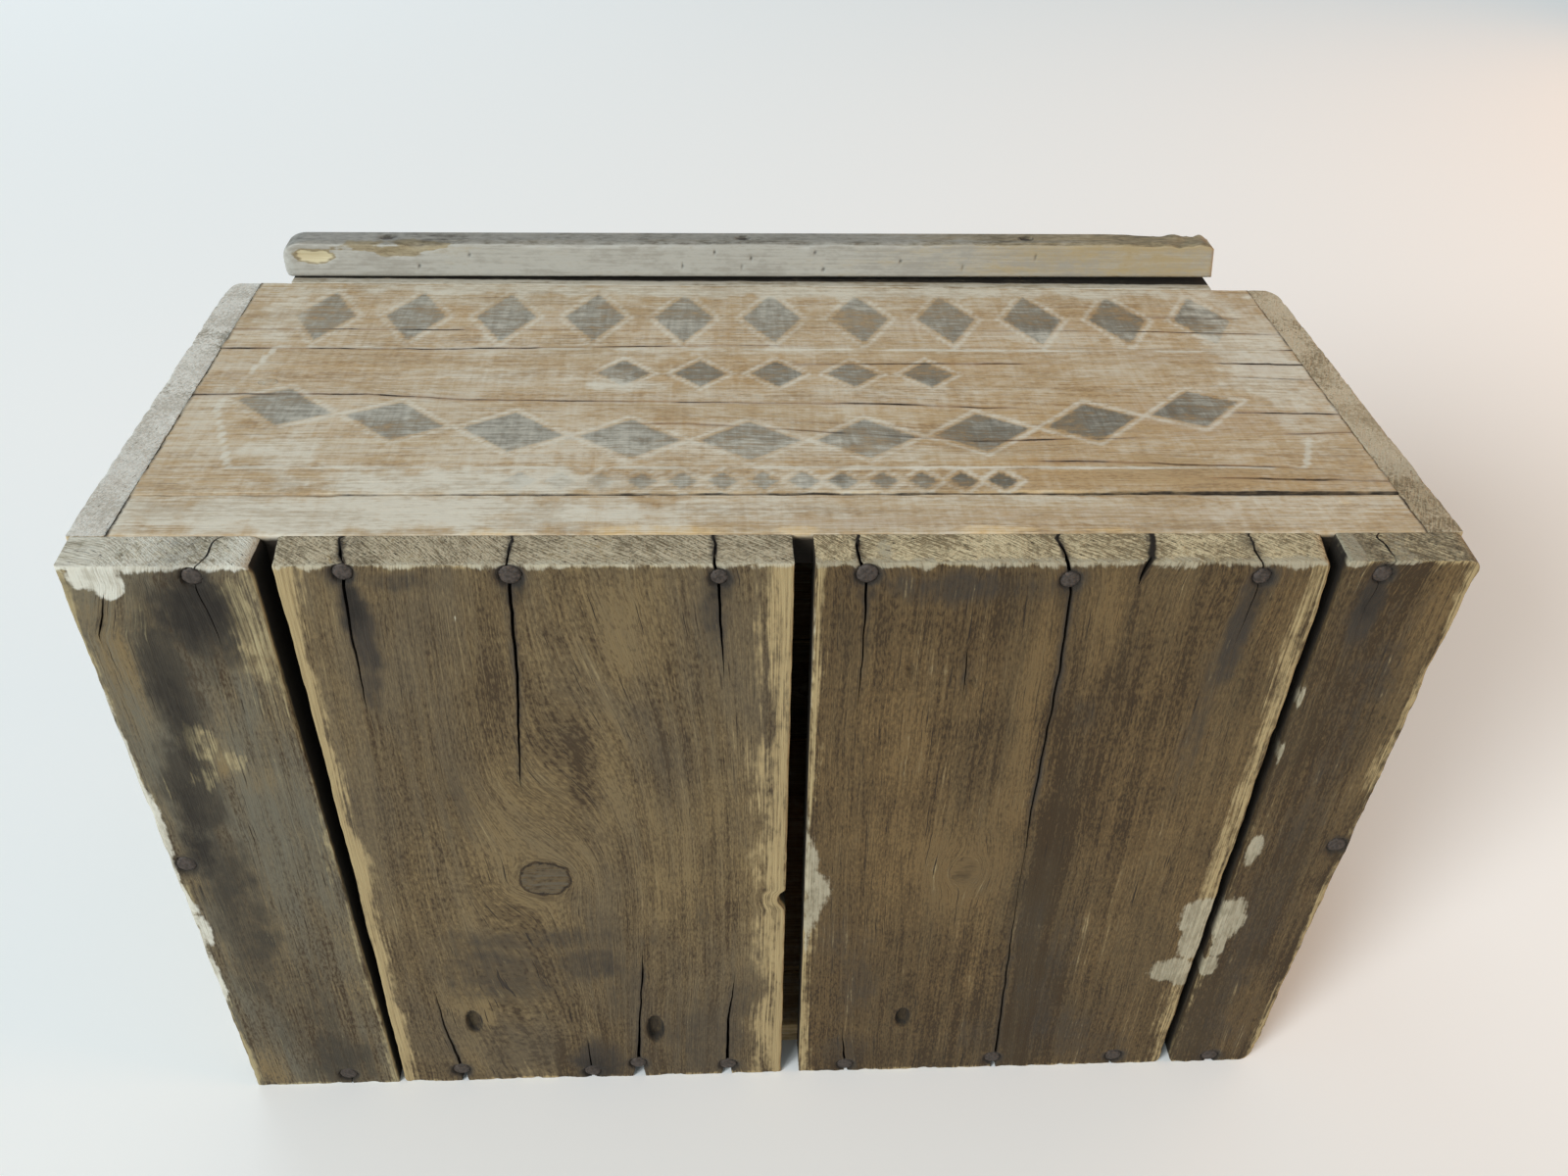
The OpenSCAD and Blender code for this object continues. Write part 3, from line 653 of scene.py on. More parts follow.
    coords = np.empty((len(u), 3))
    coords[:, uAxis] = u
    coords[:, vAxis] = v
    coords[:, wAxis] = lo[wAxis] + w if outward > 0 else hi[wAxis] - w
    turn = np.zeros((3, 3))
    turn[0, uAxis] = turn[1, vAxis] = 1
    turn[2, wAxis] = outward
    if np.linalg.det(turn) < 0:
        quads = quads[:, ::-1]
    mesh = bpy.data.meshes.new(name)
    mesh.from_pydata(coords * mm, [], quads.tolist())

    # Wear: bare wood along the arrises
    worn = blots(u, v, look["worn"], seed + 37, 0.6)
    for distance, (strength, width), key in ((v - left, look["wornLeft"], 35),
                                             (right - v, look["wornRight"], 36)):
        reach = width * (0.35 + 1.3 * layeredNoise(u / 24, 0, seed + key))
        worn = np.maximum(worn, strength * np.clip(1.5 - np.clip(distance, 0, None) / reach, 0, 1.1))
    worn = np.maximum(worn, look["wornEnds"] * np.clip(1.2 - fromEnd / 2.4, 0, 1))
    worn = worn * (1 - 0.8 * isEnd) * (1 - nearNail)

    # Painted shade on side faces down in the gaps between boards, at ends where boards butt on others, and on
    # the edge under the lid's lip; dirt in blots, black marks at nails and splits
    sideShade = np.clip((below - look["sideShadeFrom"]) / 2.5, 0, 1)
    shadeUnderLip = 0.95 * np.clip((look["shadeUnderLip"] - below) / 1.2, 0, 1)
    patchy = 0.45 + 0.9 * layeredNoise(v / 7, 0, seed + 63)
    endShade = look["shadedEnds"] * np.clip(1.5 - fromEnd / 1.2, 0, 1) * patchy
    shadedLeft, shadedRight = look["shadedSides"]
    dirtAndShade = np.maximum.reduce([dirtAndShade, sideShade * shadedLeft * isLeft, sideShade * shadedRight * isRight,
                               shadeUnderLip * isRight, endShade, blots(u, v, look["dirtAndShade"], seed + 39, 0.3)])
    stain = np.maximum.reduce([blots(u, v, look["stains"], seed + 41, 0.35), nearNail * look["nailStain"],
                               look["endStain"] * isEnd])
    for number in range(len(splits)):
        beside = np.clip(np.abs(v - lean - paths[number][i]) - gapes[number][i], 0, None)
        isOpen = np.clip(gapes[number][i] / look["splitShow"], 0, 1)
        stain = np.maximum(stain, 0.7 * np.exp(-beside / 1.3) * isOpen)
        broken = np.clip(1.9 * layeredNoise(u / 16, number * 7.0, seed + 61) - 0.35, 0, 1)
        dirtAndShade = np.maximum(dirtAndShade, look["splitGrime"] * np.clip(1.4 - beside / 0.4, 0, 1) * isOpen * broken)

    # Paint: all over, on ends and sides, in blots, and as a line along the upper arris
    lineReach = look["lipReach"] * (0.2 + 1.5 * layeredNoise(v / 5, 0, seed + 51))
    arrisLine = np.clip(1.3 - np.hypot(uHigh - u, thick - w) / lineReach, 0, 1)
    paint = np.maximum.reduce([blots(u, v, look["paint"], seed + 43, look["paintRagged"]),
                               look["paintEnds"] * isEnd, look["paintSides"] * (isLeft | isRight),
                               look["paintLip"] * arrisLine])
    paint = np.maximum(paint, look["paintAll"]) * (1 - blots(u, v, look["bare"], seed + 45, 0.6))
    stencil = np.zeros_like(u)
    if look["stencil"]:
        stencil, halo = look["stencil"](u, v)
        paint = np.maximum(paint, halo)
    layFields(mesh, {
        "seed": np.full_like(u, seed * 0.013), "bend": bend * mm, "knot": knot, "endGrain": isEnd * 1.0,
        "stain": stain, "worn": worn, "stencil": stencil * onFace, "paint": paint, "dirtAndShade": dirtAndShade,
        "creviceShade": creviceShade,
        "tint": (0.5 + look["tint"] + blots(u, v, look["pale"], seed + 47, 0.3)
                 - blots(u, v, look["dim"], seed + 49, 0.3)),
    })
    return addPiece(name, mesh, material, body, look["node"])


def layFields(mesh, fields):
    for key, values in fields.items():
        mesh.attributes.new(key, "FLOAT", "POINT").data.foreach_set("value", values.astype(np.float32))


def addPiece(name, mesh, material, body, node):
    mesh.materials.append(material)
    mesh.shade_smooth()
    mesh.set_sharp_from_angle(angle=math.radians(48))
    piece = bpy.data.objects.new(name, mesh)
    bpy.context.collection.objects.link(piece)
    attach(piece, body)
    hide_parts(node)
    return piece


# Corners of the box round each nail of a group, in mm
def nailSpots(node, axis):
    sides = [a for a in range(3) if a != axis]
    spots = []
    for point in cadPoints(node):
        for spot in spots:
            if np.hypot(*(spot[0][sides] - point[sides])) < 9:
                spot.append(point)
                break
        else:
            spots.append([point])
    return [(np.min(spot, 0), np.max(spot, 0)) for spot in spots]


# The line of a CAD plank's edge, as (height, x) at its lower and upper end
def plankEdge(node, side):
    points = cadPoints(node)
    low, high = points[:, 2].min(), points[:, 2].max()
    middle = (low + high) / 2
    ends = []
    for half in (points[points[:, 2] < middle], points[points[:, 2] > middle]):
        outermost = half[np.argmax(half[:, 0] * side)]
        ends.append((outermost[2], outermost[0]))
    (z0, x0), (z1, x1) = ends
    slope = (x1 - x0) / (z1 - z0)
    return [(low, x0 + (low - z0) * slope), (high, x0 + (high - z0) * slope)]


# The nails aren't all of one make: how much of a full head each of the upper row has, by its x
upperHeads = [(-188, 0.87), (-139, 0.87), (-89, 1), (-21, 0.8), (26, 1), (93, 0.9), (155, 0.84), (197, 0.88)]


def headShare(place):
    if place[1] > 0 or place[2] < 270:
        return 1
    return min(upperHeads, key=lambda head: abs(head[0] - place[0]))[1]


# Place of each nail along the grain and across it, and how much of a full head it has
def headPlaces(node, axis, grainAxis, acrossAxis):
    middles = [(lo + hi) / 2 for lo, hi in nailSpots(node, axis)]
    return [(middle[grainAxis], middle[acrossAxis], headShare(middle)) for middle in middles]


plankNails = [place for part in ("front", "back", "end")
              for place in headPlaces(part + "_bottom_nails", 1, 2, 0)]
nailRows = list(np.arange(0.8, 15, 0.8)) + list(np.arange(275.2, 290, 0.8))

# Places on a plank are (height, x), and lists of marks give place, reach along and across, strength.
# A split is a path and how wide it is open, all in mm.
# Each plank's side faces, down in the gaps between planks, are given painted shade
plankLooks = {
    "bottomPlank1": {
        "node": "bottom_plank_1", "tint": 0.04, "material": silveredPine,
        "splits": [
            {"path": [(290, -184), (284, -186.5), (262, -183.5), (0, -185.5)],
             "open": [(290, 0.6), (284, 0.5), (262, 0.3), (256, 0), (14, 0), (0, 0.8)], "lean": 3},
            {"path": [(282, -214), (262, -221), (0, -221)],
             "open": [(280, 0), (276, 0.5), (266, 0.8), (258, 0)], "deep": 0.3},
        ],
        "stains": [(268, -188, 20, 15, 1.0), (232, -204, 34, 9, 0.95), (190, -208, 34, 10, 0.95),
                   (150, -208, 30, 12, 0.8), (110, -208, 50, 12, 0.65), (60, -196, 50, 20, 0.4),
                   (20, -188, 22, 14, 0.7)],
        "dirtAndShade": [(272, -189, 16, 12, 0.75), (160, -215, 16, 6, 0.6), (225, -206, 34, 5, 0.55),
                  (182, -211, 16, 5, 0.5), (244, -192, 8, 7, 0.4)],
        "paint": [(287, -215, 6, 8, 1), (282, -213, 5, 4, 0.9), (284, -222, 5, 4, 0.7),
                  (205, -227.5, 30, 2.2, 0.95), (130, -227, 40, 2.0, 0.9), (168, -225.5, 16, 2.4, 0.85),
                  (112, -224, 12, 3, 0.7), (80, -226, 22, 2, 0.7)],
        "worn": [(214, -201, 10, 6, 0.55), (204, -191, 8, 5, 0.5), (196, -203, 8, 4, 0.4),
                 (262, -174, 26, 5, 0.5)],
        "pale": [(205, -198, 9, 6, 0.55), (196, -188, 8, 8, 0.3), (243, -219, 32, 7, 0.35),
                 (258, -176, 12, 8, 0.2), (165, -186, 50, 9, 0.05), (12, -218, 14, 8, 0.25),
                 (270, -207, 8, 5, 0.25)],
        "dim": [(245, -200, 20, 5, 0.15), (26, -200, 40, 30, 0.12)],
        "corners": [(1, 1, 5)], "flares": [(-1, 0.3, 1.2, 30)], "paintLip": 0.68, "lipReach": 3.4,
        "wornLeft": (0.5, 3), "wornRight": (0.48, 3.4),
        "paintEnds": 0.55, "ragged": (0.9, 0.5), "ripple": 0.2, "shadedSides": (0, 1), "sideShadeFrom": 0.1,
    },
    "bottomPlank2": {
        "node": "bottom_plank_2", "tint": 0.06,
        "splits": [
            {"path": [(290, -138.6), (283, -140.3), (260, -141.3), (233, -142), (150, -141.5), (68, -140.6),
                      (40, -139.2), (10, -135.9), (0, -135.4)],
             "open": [(290, 1.3), (281, 1.1), (255, 0.8), (233, 0.4), (226, 0), (72, 0), (60, 0.4), (40, 0.8),
                      (10, 1.4), (0, 3.2)], "lean": -4.5},
            {"path": [(290, -88.6), (283, -88.1), (238, -89.9), (190, -93.5), (120, -88), (28, -79.2),
                      (0, -78.8)],
             "open": [(290, 0.9), (282, 1.2), (250, 1.1), (215, 0.8), (196, 0.5), (186, 0), (31, 0),
                      (26, 0.4), (0, 1.0)]},
            {"path": [(290, -52), (95, -53.2), (78, -53.5), (44, -56), (10, -57.6), (0, -58)],
             "open": [(92, 0), (84, 0.4), (76, 0.8), (60, 0.7), (40, 0.8), (12, 1.6), (5, 4.2), (0, 6)]},
            {"path": [(290, -23.4), (283, -21.8), (257, -20.7), (240, -20.1), (150, -17), (67, -15.5),
                      (42, -17.9), (8, -18.2), (0, -18.6)],
             "open": [(290, 1.1), (282, 1.0), (262, 0.8), (246, 0.3), (238, 0), (76, 0), (66, 0.4), (45, 1.0),
                      (10, 1.5), (4, 3.2), (0, 5)]},
        ],
        "dents": [(44.4, -126.7, 7.8, 3.4, 2.4), (36.2, -49.5, 9.4, 3.8, 3.0)],
        "knots": [(137.7, -89, 9.6, 9.6)],
        "tongues": [(176, -92, 34, 24), (230, -60, 60, 30)],
        "stains": [(262, -138, 26, 5, 0.95), (245, -139, 26, 4, 0.6), (100, -92, 8, 42, 0.55),
                   (80, -112, 20, 28, 0.5), (84, -78, 12, 18, 0.6), (60, -60, 26, 14, 0.3),
                   (12, -76, 16, 12, 0.85), (30, -26, 30, 20, 0.45), (60, -12, 20, 9, 0.5),
                   (283, -126, 4, 16, 0.5), (270, -24, 16, 5, 0.6), (112, -72, 10, 5, 0.4),
                   (116, -28, 12, 3, 0.4), (180, -118, 40, 8, 0.3)],
        "dirtAndShade": [(274, -139, 12, 4, 0.8), (8, -76, 9, 8, 0.5), (280, -88, 6, 5, 0.5), (280, -22, 6, 5, 0.5)],
        "paint": [(268, -107, 2.0, 0.5, 0.7)],
        "pale": [(48, -120, 5, 3, 0.5), (60, -122, 9, 4, 0.35), (150, -38, 60, 14, 0.15),
                 (262, -50, 24, 10, 0.15), (150, -100, 24, 30, 0.12), (190, -60, 30, 10, 0.2),
                 (86, -8, 80, 6, 0.15), (40, -130, 44, 8, 0.2)],
        "dim": [(20, -70, 46, 80, 0.12), (208, -40, 30, 12, 0.2), (196, -70, 22, 5, 0.25),
                (240, -106, 30, 10, 0.1), (100, -30, 16, 22, 0.1)],
        "notches": [(122.6, 5, 2.6, 1)], "wornLeft": (0.85, 5.0), "wornRight": (0.7, 11),
        "paintLip": 0.56, "lipReach": 3.4, "corners": [(-1, -1, 3), (1, -1, 2)],
        "flares": [(-1, 1.6, 3.9, 40)], "shadedSides": (0.85, 0.85),
    },
    "bottomPlank3": {
        "node": "bottom_plank_3", "tint": 0.02, "material": brownedPine, "paintRagged": 0.25,
        "splits": [
            {"path": [(290, 23.5), (284, 25.8), (270, 26.4), (237, 26.9), (222, 26.5), (100, 31), (25, 33.1),
                      (4, 35.6), (0, 36)],
             "open": [(290, 1.3), (283, 1.1), (262, 0.6), (240, 0.5), (222, 0), (30, 0), (24, 0.4), (6, 1.2),
                      (0, 1.8)]},
            {"path": [(252, 62.6), (236, 63.1)],
             "open": [(256, 0), (248, 0.5), (240, 0.5), (230, 0)], "deep": 0.3},
            {"path": [(290, 91), (284, 92.6), (277, 93.8), (245, 95.4), (207, 95.8), (171, 96.2), (131, 97.4),
                      (100, 98.9), (52, 101.3), (7, 103.8), (0, 104)],
             "open": [(290, 1.4), (281, 1.2), (245, 1.0), (200, 0.9), (165, 0.7), (150, 0.3), (120, 0.25),
                      (100, 0.45), (85, 0.7), (50, 0.9), (10, 1.4), (0, 2.2)]},
            {"path": [(290, 117), (283, 115.5), (0, 122)],
             "open": [(290, 2.8), (286, 1.7), (280, 0)], "deep": 0.2, "lean": 5},
            {"path": [(290, 154.6), (285, 156.4), (250, 154), (100, 157), (0, 158.5)],
             "open": [(290, 0.8), (283, 0.6), (268, 0.4), (252, 0), (20, 0), (6, 0.6), (0, 1.4)]},
        ],
        "dents": [(40.5, 58.5, 6.5, 3.2, 2.2), (244, 44, 2.4, 1.6, 0.9), (238, 66, 2.6, 1.4, 0.8)],
        "swirls": [(138, 75, 8, 6)],
        "stains": [(280, 60, 7, 40, 0.6), (110, 106, 60, 8, 0.35), (60, 114, 46, 14, 0.4),
                   (222, 108, 9, 7, 0.35), (26, 120, 26, 36, 0.45), (70, 36, 30, 12, 0.4),
                   (262, 154, 30, 5, 0.8), (225, 150, 50, 6, 0.45), (92, 26, 36, 10, 0.3),
                   (14, 36, 14, 14, 0.5), (14, 150, 16, 14, 0.4)],
        "dirtAndShade": [(275, 156, 10, 4, 0.5), (278, 92.5, 8, 5, 0.4), (118, 97, 40, 2, 0.35),
                  (278, 26, 8, 4, 0.4)],
        "paint": [(140, 13, 20, 4.4, 0.7), (128, 17, 11, 7, 0.66), (116, 15, 14, 4.6, 0.66),
                  (160, 11, 20, 2, 0.6), (98, 14, 16, 1.6, 0.55), (107, 177, 12, 9.5, 1), (90, 178, 12, 7, 1),
                  (71, 172, 8, 11, 1), (64, 180, 5, 7, 0.9), (240, 9.5, 70, 1.2, 0.5), (289, 32, 2, 6, 0.6)],
        "pale": [(140, 66, 30, 26, 0.25), (262, 108, 24, 6, 0.3), (180, 88, 100, 5, 0.2),
                 (140, 160, 100, 14, 0.12), (240, 88, 50, 4, 0.3), (210, 40, 60, 20, 0.08)],
        "dim": [(24, 60, 50, 100, 0.12), (130, 107, 84, 8, 0.36), (226, 105, 30, 8, 0.22),
                (50, 116, 50, 14, 0.3), (120, 116, 120, 14, 0.1), (200, 70, 40, 12, 0.1),
                (60, 60, 30, 26, 0.12), (262, 60, 24, 30, 0.12), (138, 75, 6, 5, 0.2)],
        "corners": [(1, 1, 4), (-1, 1, 4)], "flares": [(1, 1.6, 1.6, 150), (1, -0.8, 2.6, 14)],
        "wornLeft": (0.55, 4), "wornRight": (0.56, 6),
        "paintLip": 0.62, "lipReach": 3.6, "shadedSides": (0.85, 0.85),
    },
    "bottomPlank4": {
        "node": "bottom_plank_4", "tint": -0.14, "material": brownedPine, "paintRagged": 0.25,
        "splits": [
            {"path": [(290, 199.6), (284, 197.2), (270, 195), (100, 200), (4, 204.8), (0, 205)],
             "open": [(290, 0.7), (284, 0.5), (266, 0), (12, 0), (0, 1.2)]},
        ],
        "stains": [(230, 204, 60, 12, 0.45), (268, 196, 18, 6, 0.85), (120, 204, 80, 12, 0.45),
                   (30, 204, 40, 14, 0.35)],
        "dirtAndShade": [(274, 196, 10, 5, 0.5), (149, 219, 12, 5, 0.4)],
        "paint": [(105, 188.5, 13, 7, 1), (86, 188.5, 8, 3, 0.9), (73, 187.5, 7, 4.5, 0.9),
                  (147, 188.2, 9, 3.4, 0.85), (290, 186, 3, 5, 0.85), (289, 203, 1.6, 8, 0.6),
                  (202, 184.8, 7, 1.1, 0.7), (229, 184.6, 6, 1.1, 0.7)],
        "pale": [(262, 220, 26, 6, 0.3), (40, 212, 34, 8, 0.3), (200, 221, 60, 4, 0.25),
                 (110, 216, 70, 5, 0.2)],
        "dim": [(40, 205, 60, 40, 0.12)],
        "endStain": 0.55, "corners": [(1, 1, 5), (-1, 1, 7), (1, -1, 2), (-1, -1, 3)],
        "flares": [(-1, -3.2, -4.3, 190), (1, 1.8, 3.4, 25)], "wornLeft": (0.4, 2), "wornRight": (0.62, 3.6),
        "ragged": (0.3, 1.3), "paintLip": 0.2, "shadedSides": (0.85, 0),
    },
}
for name, look in plankLooks.items():
    node = look["node"]
    lo, hi = cadBox(node)
    nails = [nail for nail in plankNails if lo[0] < nail[1] < hi[0]]
    look.update({"grain": "Z", "across": "X", "outward": -1, "step": (2.0, 0.9), "rows": nailRows,
                 "nails": nails, "left": plankEdge(node, -1), "right": plankEdge(node, 1), "endArris": 1.4})
    makeBoard(name, "crate", look.get("material", weatheredPine), look)
    print("made", name)


# How far a place lies inside a row of lozenges, in mm, less than nothing outside them
def lozenges(u, v, row):
    middle = row["v"] + row.get("sag", 0) * ((u - row["u"]) / row["half"]) ** 2
    offset = (u - row["u"]) / row["pitch"]
    nearest = np.clip(np.round(offset), -row["each"], row["each"])
    du = np.abs(offset - nearest) * row["pitch"]
    dv = np.abs(v - middle)
    return (1 - du / row["wide"] - dv / row["tall"]) * min(row["wide"], row["tall"]) * 0.8


# A plain worn band of stencilled lozenges with pale halos, inside a thin pale border line
stencilRows = [
    {"u": 2, "v": 62, "half": 200, "pitch": 37, "each": 5, "wide": 13, "tall": 23},
    {"u": 2, "v": 14, "half": 80, "pitch": 30, "each": 2, "wide": 11, "tall": 11},
    {"u": -10, "v": -36, "sag": 26, "half": 180, "pitch": 43, "each": 4, "wide": 19, "tall": 14},
    {"u": -6, "v": -62.5, "half": 90, "pitch": 14, "each": 6, "wide": 6, "tall": 6.5},
]
borderLine = [(-206, -12), (-196, 34), (196, 34), (208, -12), (190, -54), (-190, -54), (-206, -12)]


def stencilField(u, v):
    inside = np.maximum.reduce([lozenges(u, v, row) for row in stencilRows])
    halo = 0.7 * np.exp(-((inside + 1.6) / 1.5) ** 2)
    lineLeft = np.clip(1.8 * layeredNoise(u / 14, v / 14, 347) - 0.1, 0.25, 1)
    for (u0, v0), (u1, v1) in zip(borderLine, borderLine[1:]):
        du, dv = u1 - u0, v1 - v0
        part = np.clip(((u - u0) * du + (v - v0) * dv) / (du ** 2 + dv ** 2), 0, 1)
        away = np.hypot(u - u0 - part * du, v - v0 - part * dv)
        halo = np.maximum(halo, 1.1 * np.clip(1.5 - away / 0.9, 0, 1) * lineLeft)
    return np.clip(0.5 + inside / 1.6, 0, 1) * 0.9, halo


# The side boards are given painted shade at their ends where they butt on the end boards; the front ones also
# along their joint with each other
sideLooks = {
    "frontWideBoard": {
        "node": "front_wide_board", "outward": 1, "stencil": stencilField, "step": (1.7, 1.0),
        "splits": [
            {"path": [(-217, 65), (155, 65), (205, 64.3)],
             "open": [(150, 0), (160, 0.5), (200, 0.5), (208, 0)]},
            {"path": [(-219, 49), (-181, 49.5), (151, 51.8), (218, 49.3)],
             "open": [(-217, 0.8), (-178, 0.5), (-60, 0.25), (140, 0.25), (190, 0.6), (218, 0.8)]},
            {"path": [(-218, 33), (-139, 33), (-10, 37.7), (218, 35.5)],
             "open": [(-217, 0.8), (-139, 0.6), (-10, 0.5), (20, 0.2), (205, 0.2), (218, 0.7)]},
            {"path": [(-217, 20), (-88, 20.5), (176, 24), (218, 23)],
             "open": [(-217, 0), (-20, 0), (10, 0.4), (90, 0.5), (130, 0), (180, 0.2), (195, 0.9),
                      (218, 0.9)]},
            {"path": [(-217, 9), (185, 12.3), (218, 10.5)], "open": [(180, 0), (190, 0.6), (218, 0.6)]},
            {"path": [(-217, -3.5), (-153, -3.1), (-114, -7.3), (41, -9.4), (80, -12), (218, -16.5)],
             "open": [(-217, 0.8), (-153, 0.8), (-100, 0.4), (-40, 0.4), (0, 0.8), (40, 0.8), (90, 0.3),
                      (100, 0), (172, 0), (180, 0.6), (218, 0.6)]},
            {"path": [(-217, -26), (-33, -24), (74, -36.3), (218, -30)],
             "open": [(-60, 0), (-30, 0.8), (0, 0.5), (70, 0.9), (110, 0.3), (185, 0), (195, 0.5),
                      (218, 0.6)]},
            {"path": [(-217, -55), (107, -49.6), (171, -53.5), (218, -56)],
             "open": [(80, 0), (110, 0.7), (180, 0.5), (205, 0)]},
            {"path": [(-217, -63), (160, -61), (218, -63)], "open": [(140, 0), (165, 0.7), (218, 1.2)]},
        ],
        "knots": [(-52, 12, 3.2, 2.6), (-192, 6, 3.5, 2.4)],
        "paint": [(-200, 60, 16, 30, 0.6), (-206, -20, 12, 60, 0.5), (200, 30, 30, 60, 0.66),
                  (204, -30, 12, 60, 0.5), (0, 88, 240, 8, 0.8), (-120, 76, 90, 10, 0.5),
                  (-172, -44, 18, 20, 0.62), (0, -64, 150, 8, 0.5), (-55, 4, 20, 6, 0.8),
                  (60, 0, 60, 12, 0.55), (-40, 34, 160, 7, 0.5), (-90, 12, 60, 10, 0.55),
                  (150, -30, 26, 14, 0.45), (-30, -44, 120, 12, 0.52), (120, 48, 60, 8, 0.5),
                  (-110, -63, 70, 9, 0.8)],
        "stains": [(-205, 12, 7, 5, 0.5), (200, 20, 9, 5, 0.45), (160, -20, 40, 14, 0.35),
                   (100, 60, 60, 10, 0.3), (170, 30, 30, 8, 0.35), (-60, 60, 50, 10, 0.2)],
        "bare": [(110, -20, 60, 30, 0.35), (60, 20, 40, 20, 0.25), (-20, 14, 60, 14, 0.2),
                 (150, 60, 50, 14, 0.25), (110, -58, 70, 12, 0.55)],
        # painted shade along the joint with the narrow board
        "dirtAndShade": [(60, -70.6, 300, 0.7, 0.75), (170, -70.2, 60, 1.1, 0.9)],
        "paintAll": 0.42, "paintRagged": 0.6, "wornLeft": (0.4, 1.6), "wornRight": (0.2, 1.5),
        "wornEnds": 0, "arris": 1.3, "ripple": 0.25, "relief": 0.16, "shadedEnds": 0.6, "shadedSides": (0.9, 0),
        "splitGrime": 0.75, "splitShow": 0.2,
    },
    "frontNarrowBoard": {
        "node": "front_narrow_board", "outward": 1, "step": (1.7, 1.1),
        "paint": [(-140, -82, 130, 14, 0.8), (-20, -80, 60, 10, 0.6), (170, -78, 60, 16, 0.5),
                  (80, -74, 60, 4, 0.55)],
        # painted shade along the joint with the wide board
        "dirtAndShade": [(60, -70.6, 300, 0.7, 0.75), (170, -71, 60, 1.1, 0.9)],
        "worn": [(-42, -92, 20, 3, 0.9), (-92, -92.5, 12, 2.2, 0.8), (5, -92, 6, 2, 0.9),
                 (70, -92, 16, 2.4, 0.8), (106, -92, 12, 2, 0.8), (196, -77, 4, 3, 0.7)],
        "stains": [(20, -86, 40, 5, 0.35), (120, -84, 60, 5, 0.35)],
        "paintAll": 0.42, "paintRagged": 0.6, "wornLeft": (0.1, 1.2), "wornRight": (0.35, 1.8),
        "wornEnds": 0, "arris": 1.3, "relief": 0.16, "ripple": 0.3, "right": [(-217, -70.8), (217, -70.8)],
        "shadedEnds": 0.75, "shadedSides": (1, 0.9), "sideShadeFrom": 0.2,
    },
    "backWideBoard": {
        "node": "back_wide_board", "outward": -1, "step": (4, 2), "paintAll": 0.3, "arris": 0.9,
        "ripple": 0.25, "tint": -0.1, "shadedEnds": 0.6, "knots": [(70, 20, 7, 6)],
        "stains": [(0, 20, 200, 60, 0.3), (-150, 60, 50, 30, 0.4)],
    },
    "backNarrowBoard": {
        "node": "back_narrow_board", "outward": -1, "step": (4, 2), "paintAll": 0.3, "arris": 0.9,
        "tint": -0.1, "shadedEnds": 0.6, "right": [(-217, -64.4), (217, -64.4)],
    },
}
for name, look in sideLooks.items():
    look.update({"grain": "X", "across": "Y"})
    makeBoard(name, "crate", washedPine, look)
    print("made", name)

endLooks = {
    "endBoardLeft": {
        "node": "end_board_left", "outward": -1, "material": chalkyPine, "paintEnds": 0.95,
        "bare": [(290, 40, 3, 12, 0.4), (290, 0, 3, 8, 0.4)],
        "nails": headPlaces("left_end_nails", 0, 2, 1)},
    "endBoardRight": {
        "node": "end_board_right", "outward": 1, "material": dustyPine, "paintEnds": 0.75,
        "bare": [(290, -70, 4, 22, 0.5), (290, 30, 3, 40, 0.3)],
        "nails": headPlaces("right_end_nails", 0, 2, 1)},
}
for name, look in endLooks.items():
    look.update({
        "grain": "Z", "across": "Y", "step": (2.6, 1.4), "rows": nailRows, "rimWear": (12, 5), "arris": 1.4,
        "paintAll": 0.4, "torn": 0.6, "ragged": (0.8, 0.4), "nailGrime": 0.7, "nailStain": 0.665,
        "stains": [(60, 0, 80, 60, 0.35), (250, -60, 60, 40, 0.35), (150, -80, 120, 16, 0.4)],
        "splits": [
            {"path": [(0, 22), (290, 18)], "open": [(0, 1.2), (60, 0.5), (90, 0), (290, 0)], "deep": 0.4},
        ],
        "knots": [(190, -30, 9, 7), (90, 50, 7, 6)],
    })
    makeBoard(name, "crate", look["material"], look)
    print("made", name)

lidLooks = {
    # Its top edge is given painted shade under the lip, 12.8 mm down from its outer face
    "lidFrontBoard": {
        "node": "lid_front_board", "knots": [(120, 262, 8, 7)], "paintSides": 0.7, "shadeUnderLip": 12.8},
    "lidMiddleBoard": {"node": "lid_middle_board", "knots": [(-60, 150, 9, 8)], "tint": 0.1},
    "lidBackBoard": {"node": "lid_back_board", "knots": [(30, 50, 6, 6)], "tint": -0.1},
}
lidNails = headPlaces("lid_cleat_nails", 1, 0, 2)
for name, look in lidLooks.items():
    lo, hi = cadBox(look["node"])
    look.update({
        "grain": "X", "across": "Z", "outward": 1, "step": (3.2, 1.8), "arris": 1.2, "paintAll": 0.36,
        "nails": [nail for nail in lidNails if lo[2] < nail[1] < hi[2]], "nailStain": 0.76,
        "stains": [(-100, 200, 80, 40, 0.35), (120, 60, 90, 40, 0.4), (40, 250, 60, 20, 0.3)],
    })
    makeBoard(name, "lid", lidPine, look)
    print("made", name)

cleatLook = {
    "grain": "Z", "across": "X", "outward": -1, "step": (4, 2), "arris": 2.5, "endArris": 4, "tint": 0.2,
}
for side in ("left", "right"):
    makeBoard("lidCleat" + side.capitalize(), "lid", weatheredPine, {
        "node": "lid_cleat_" + side, **cleatLook})
    print("made lid cleat", side)

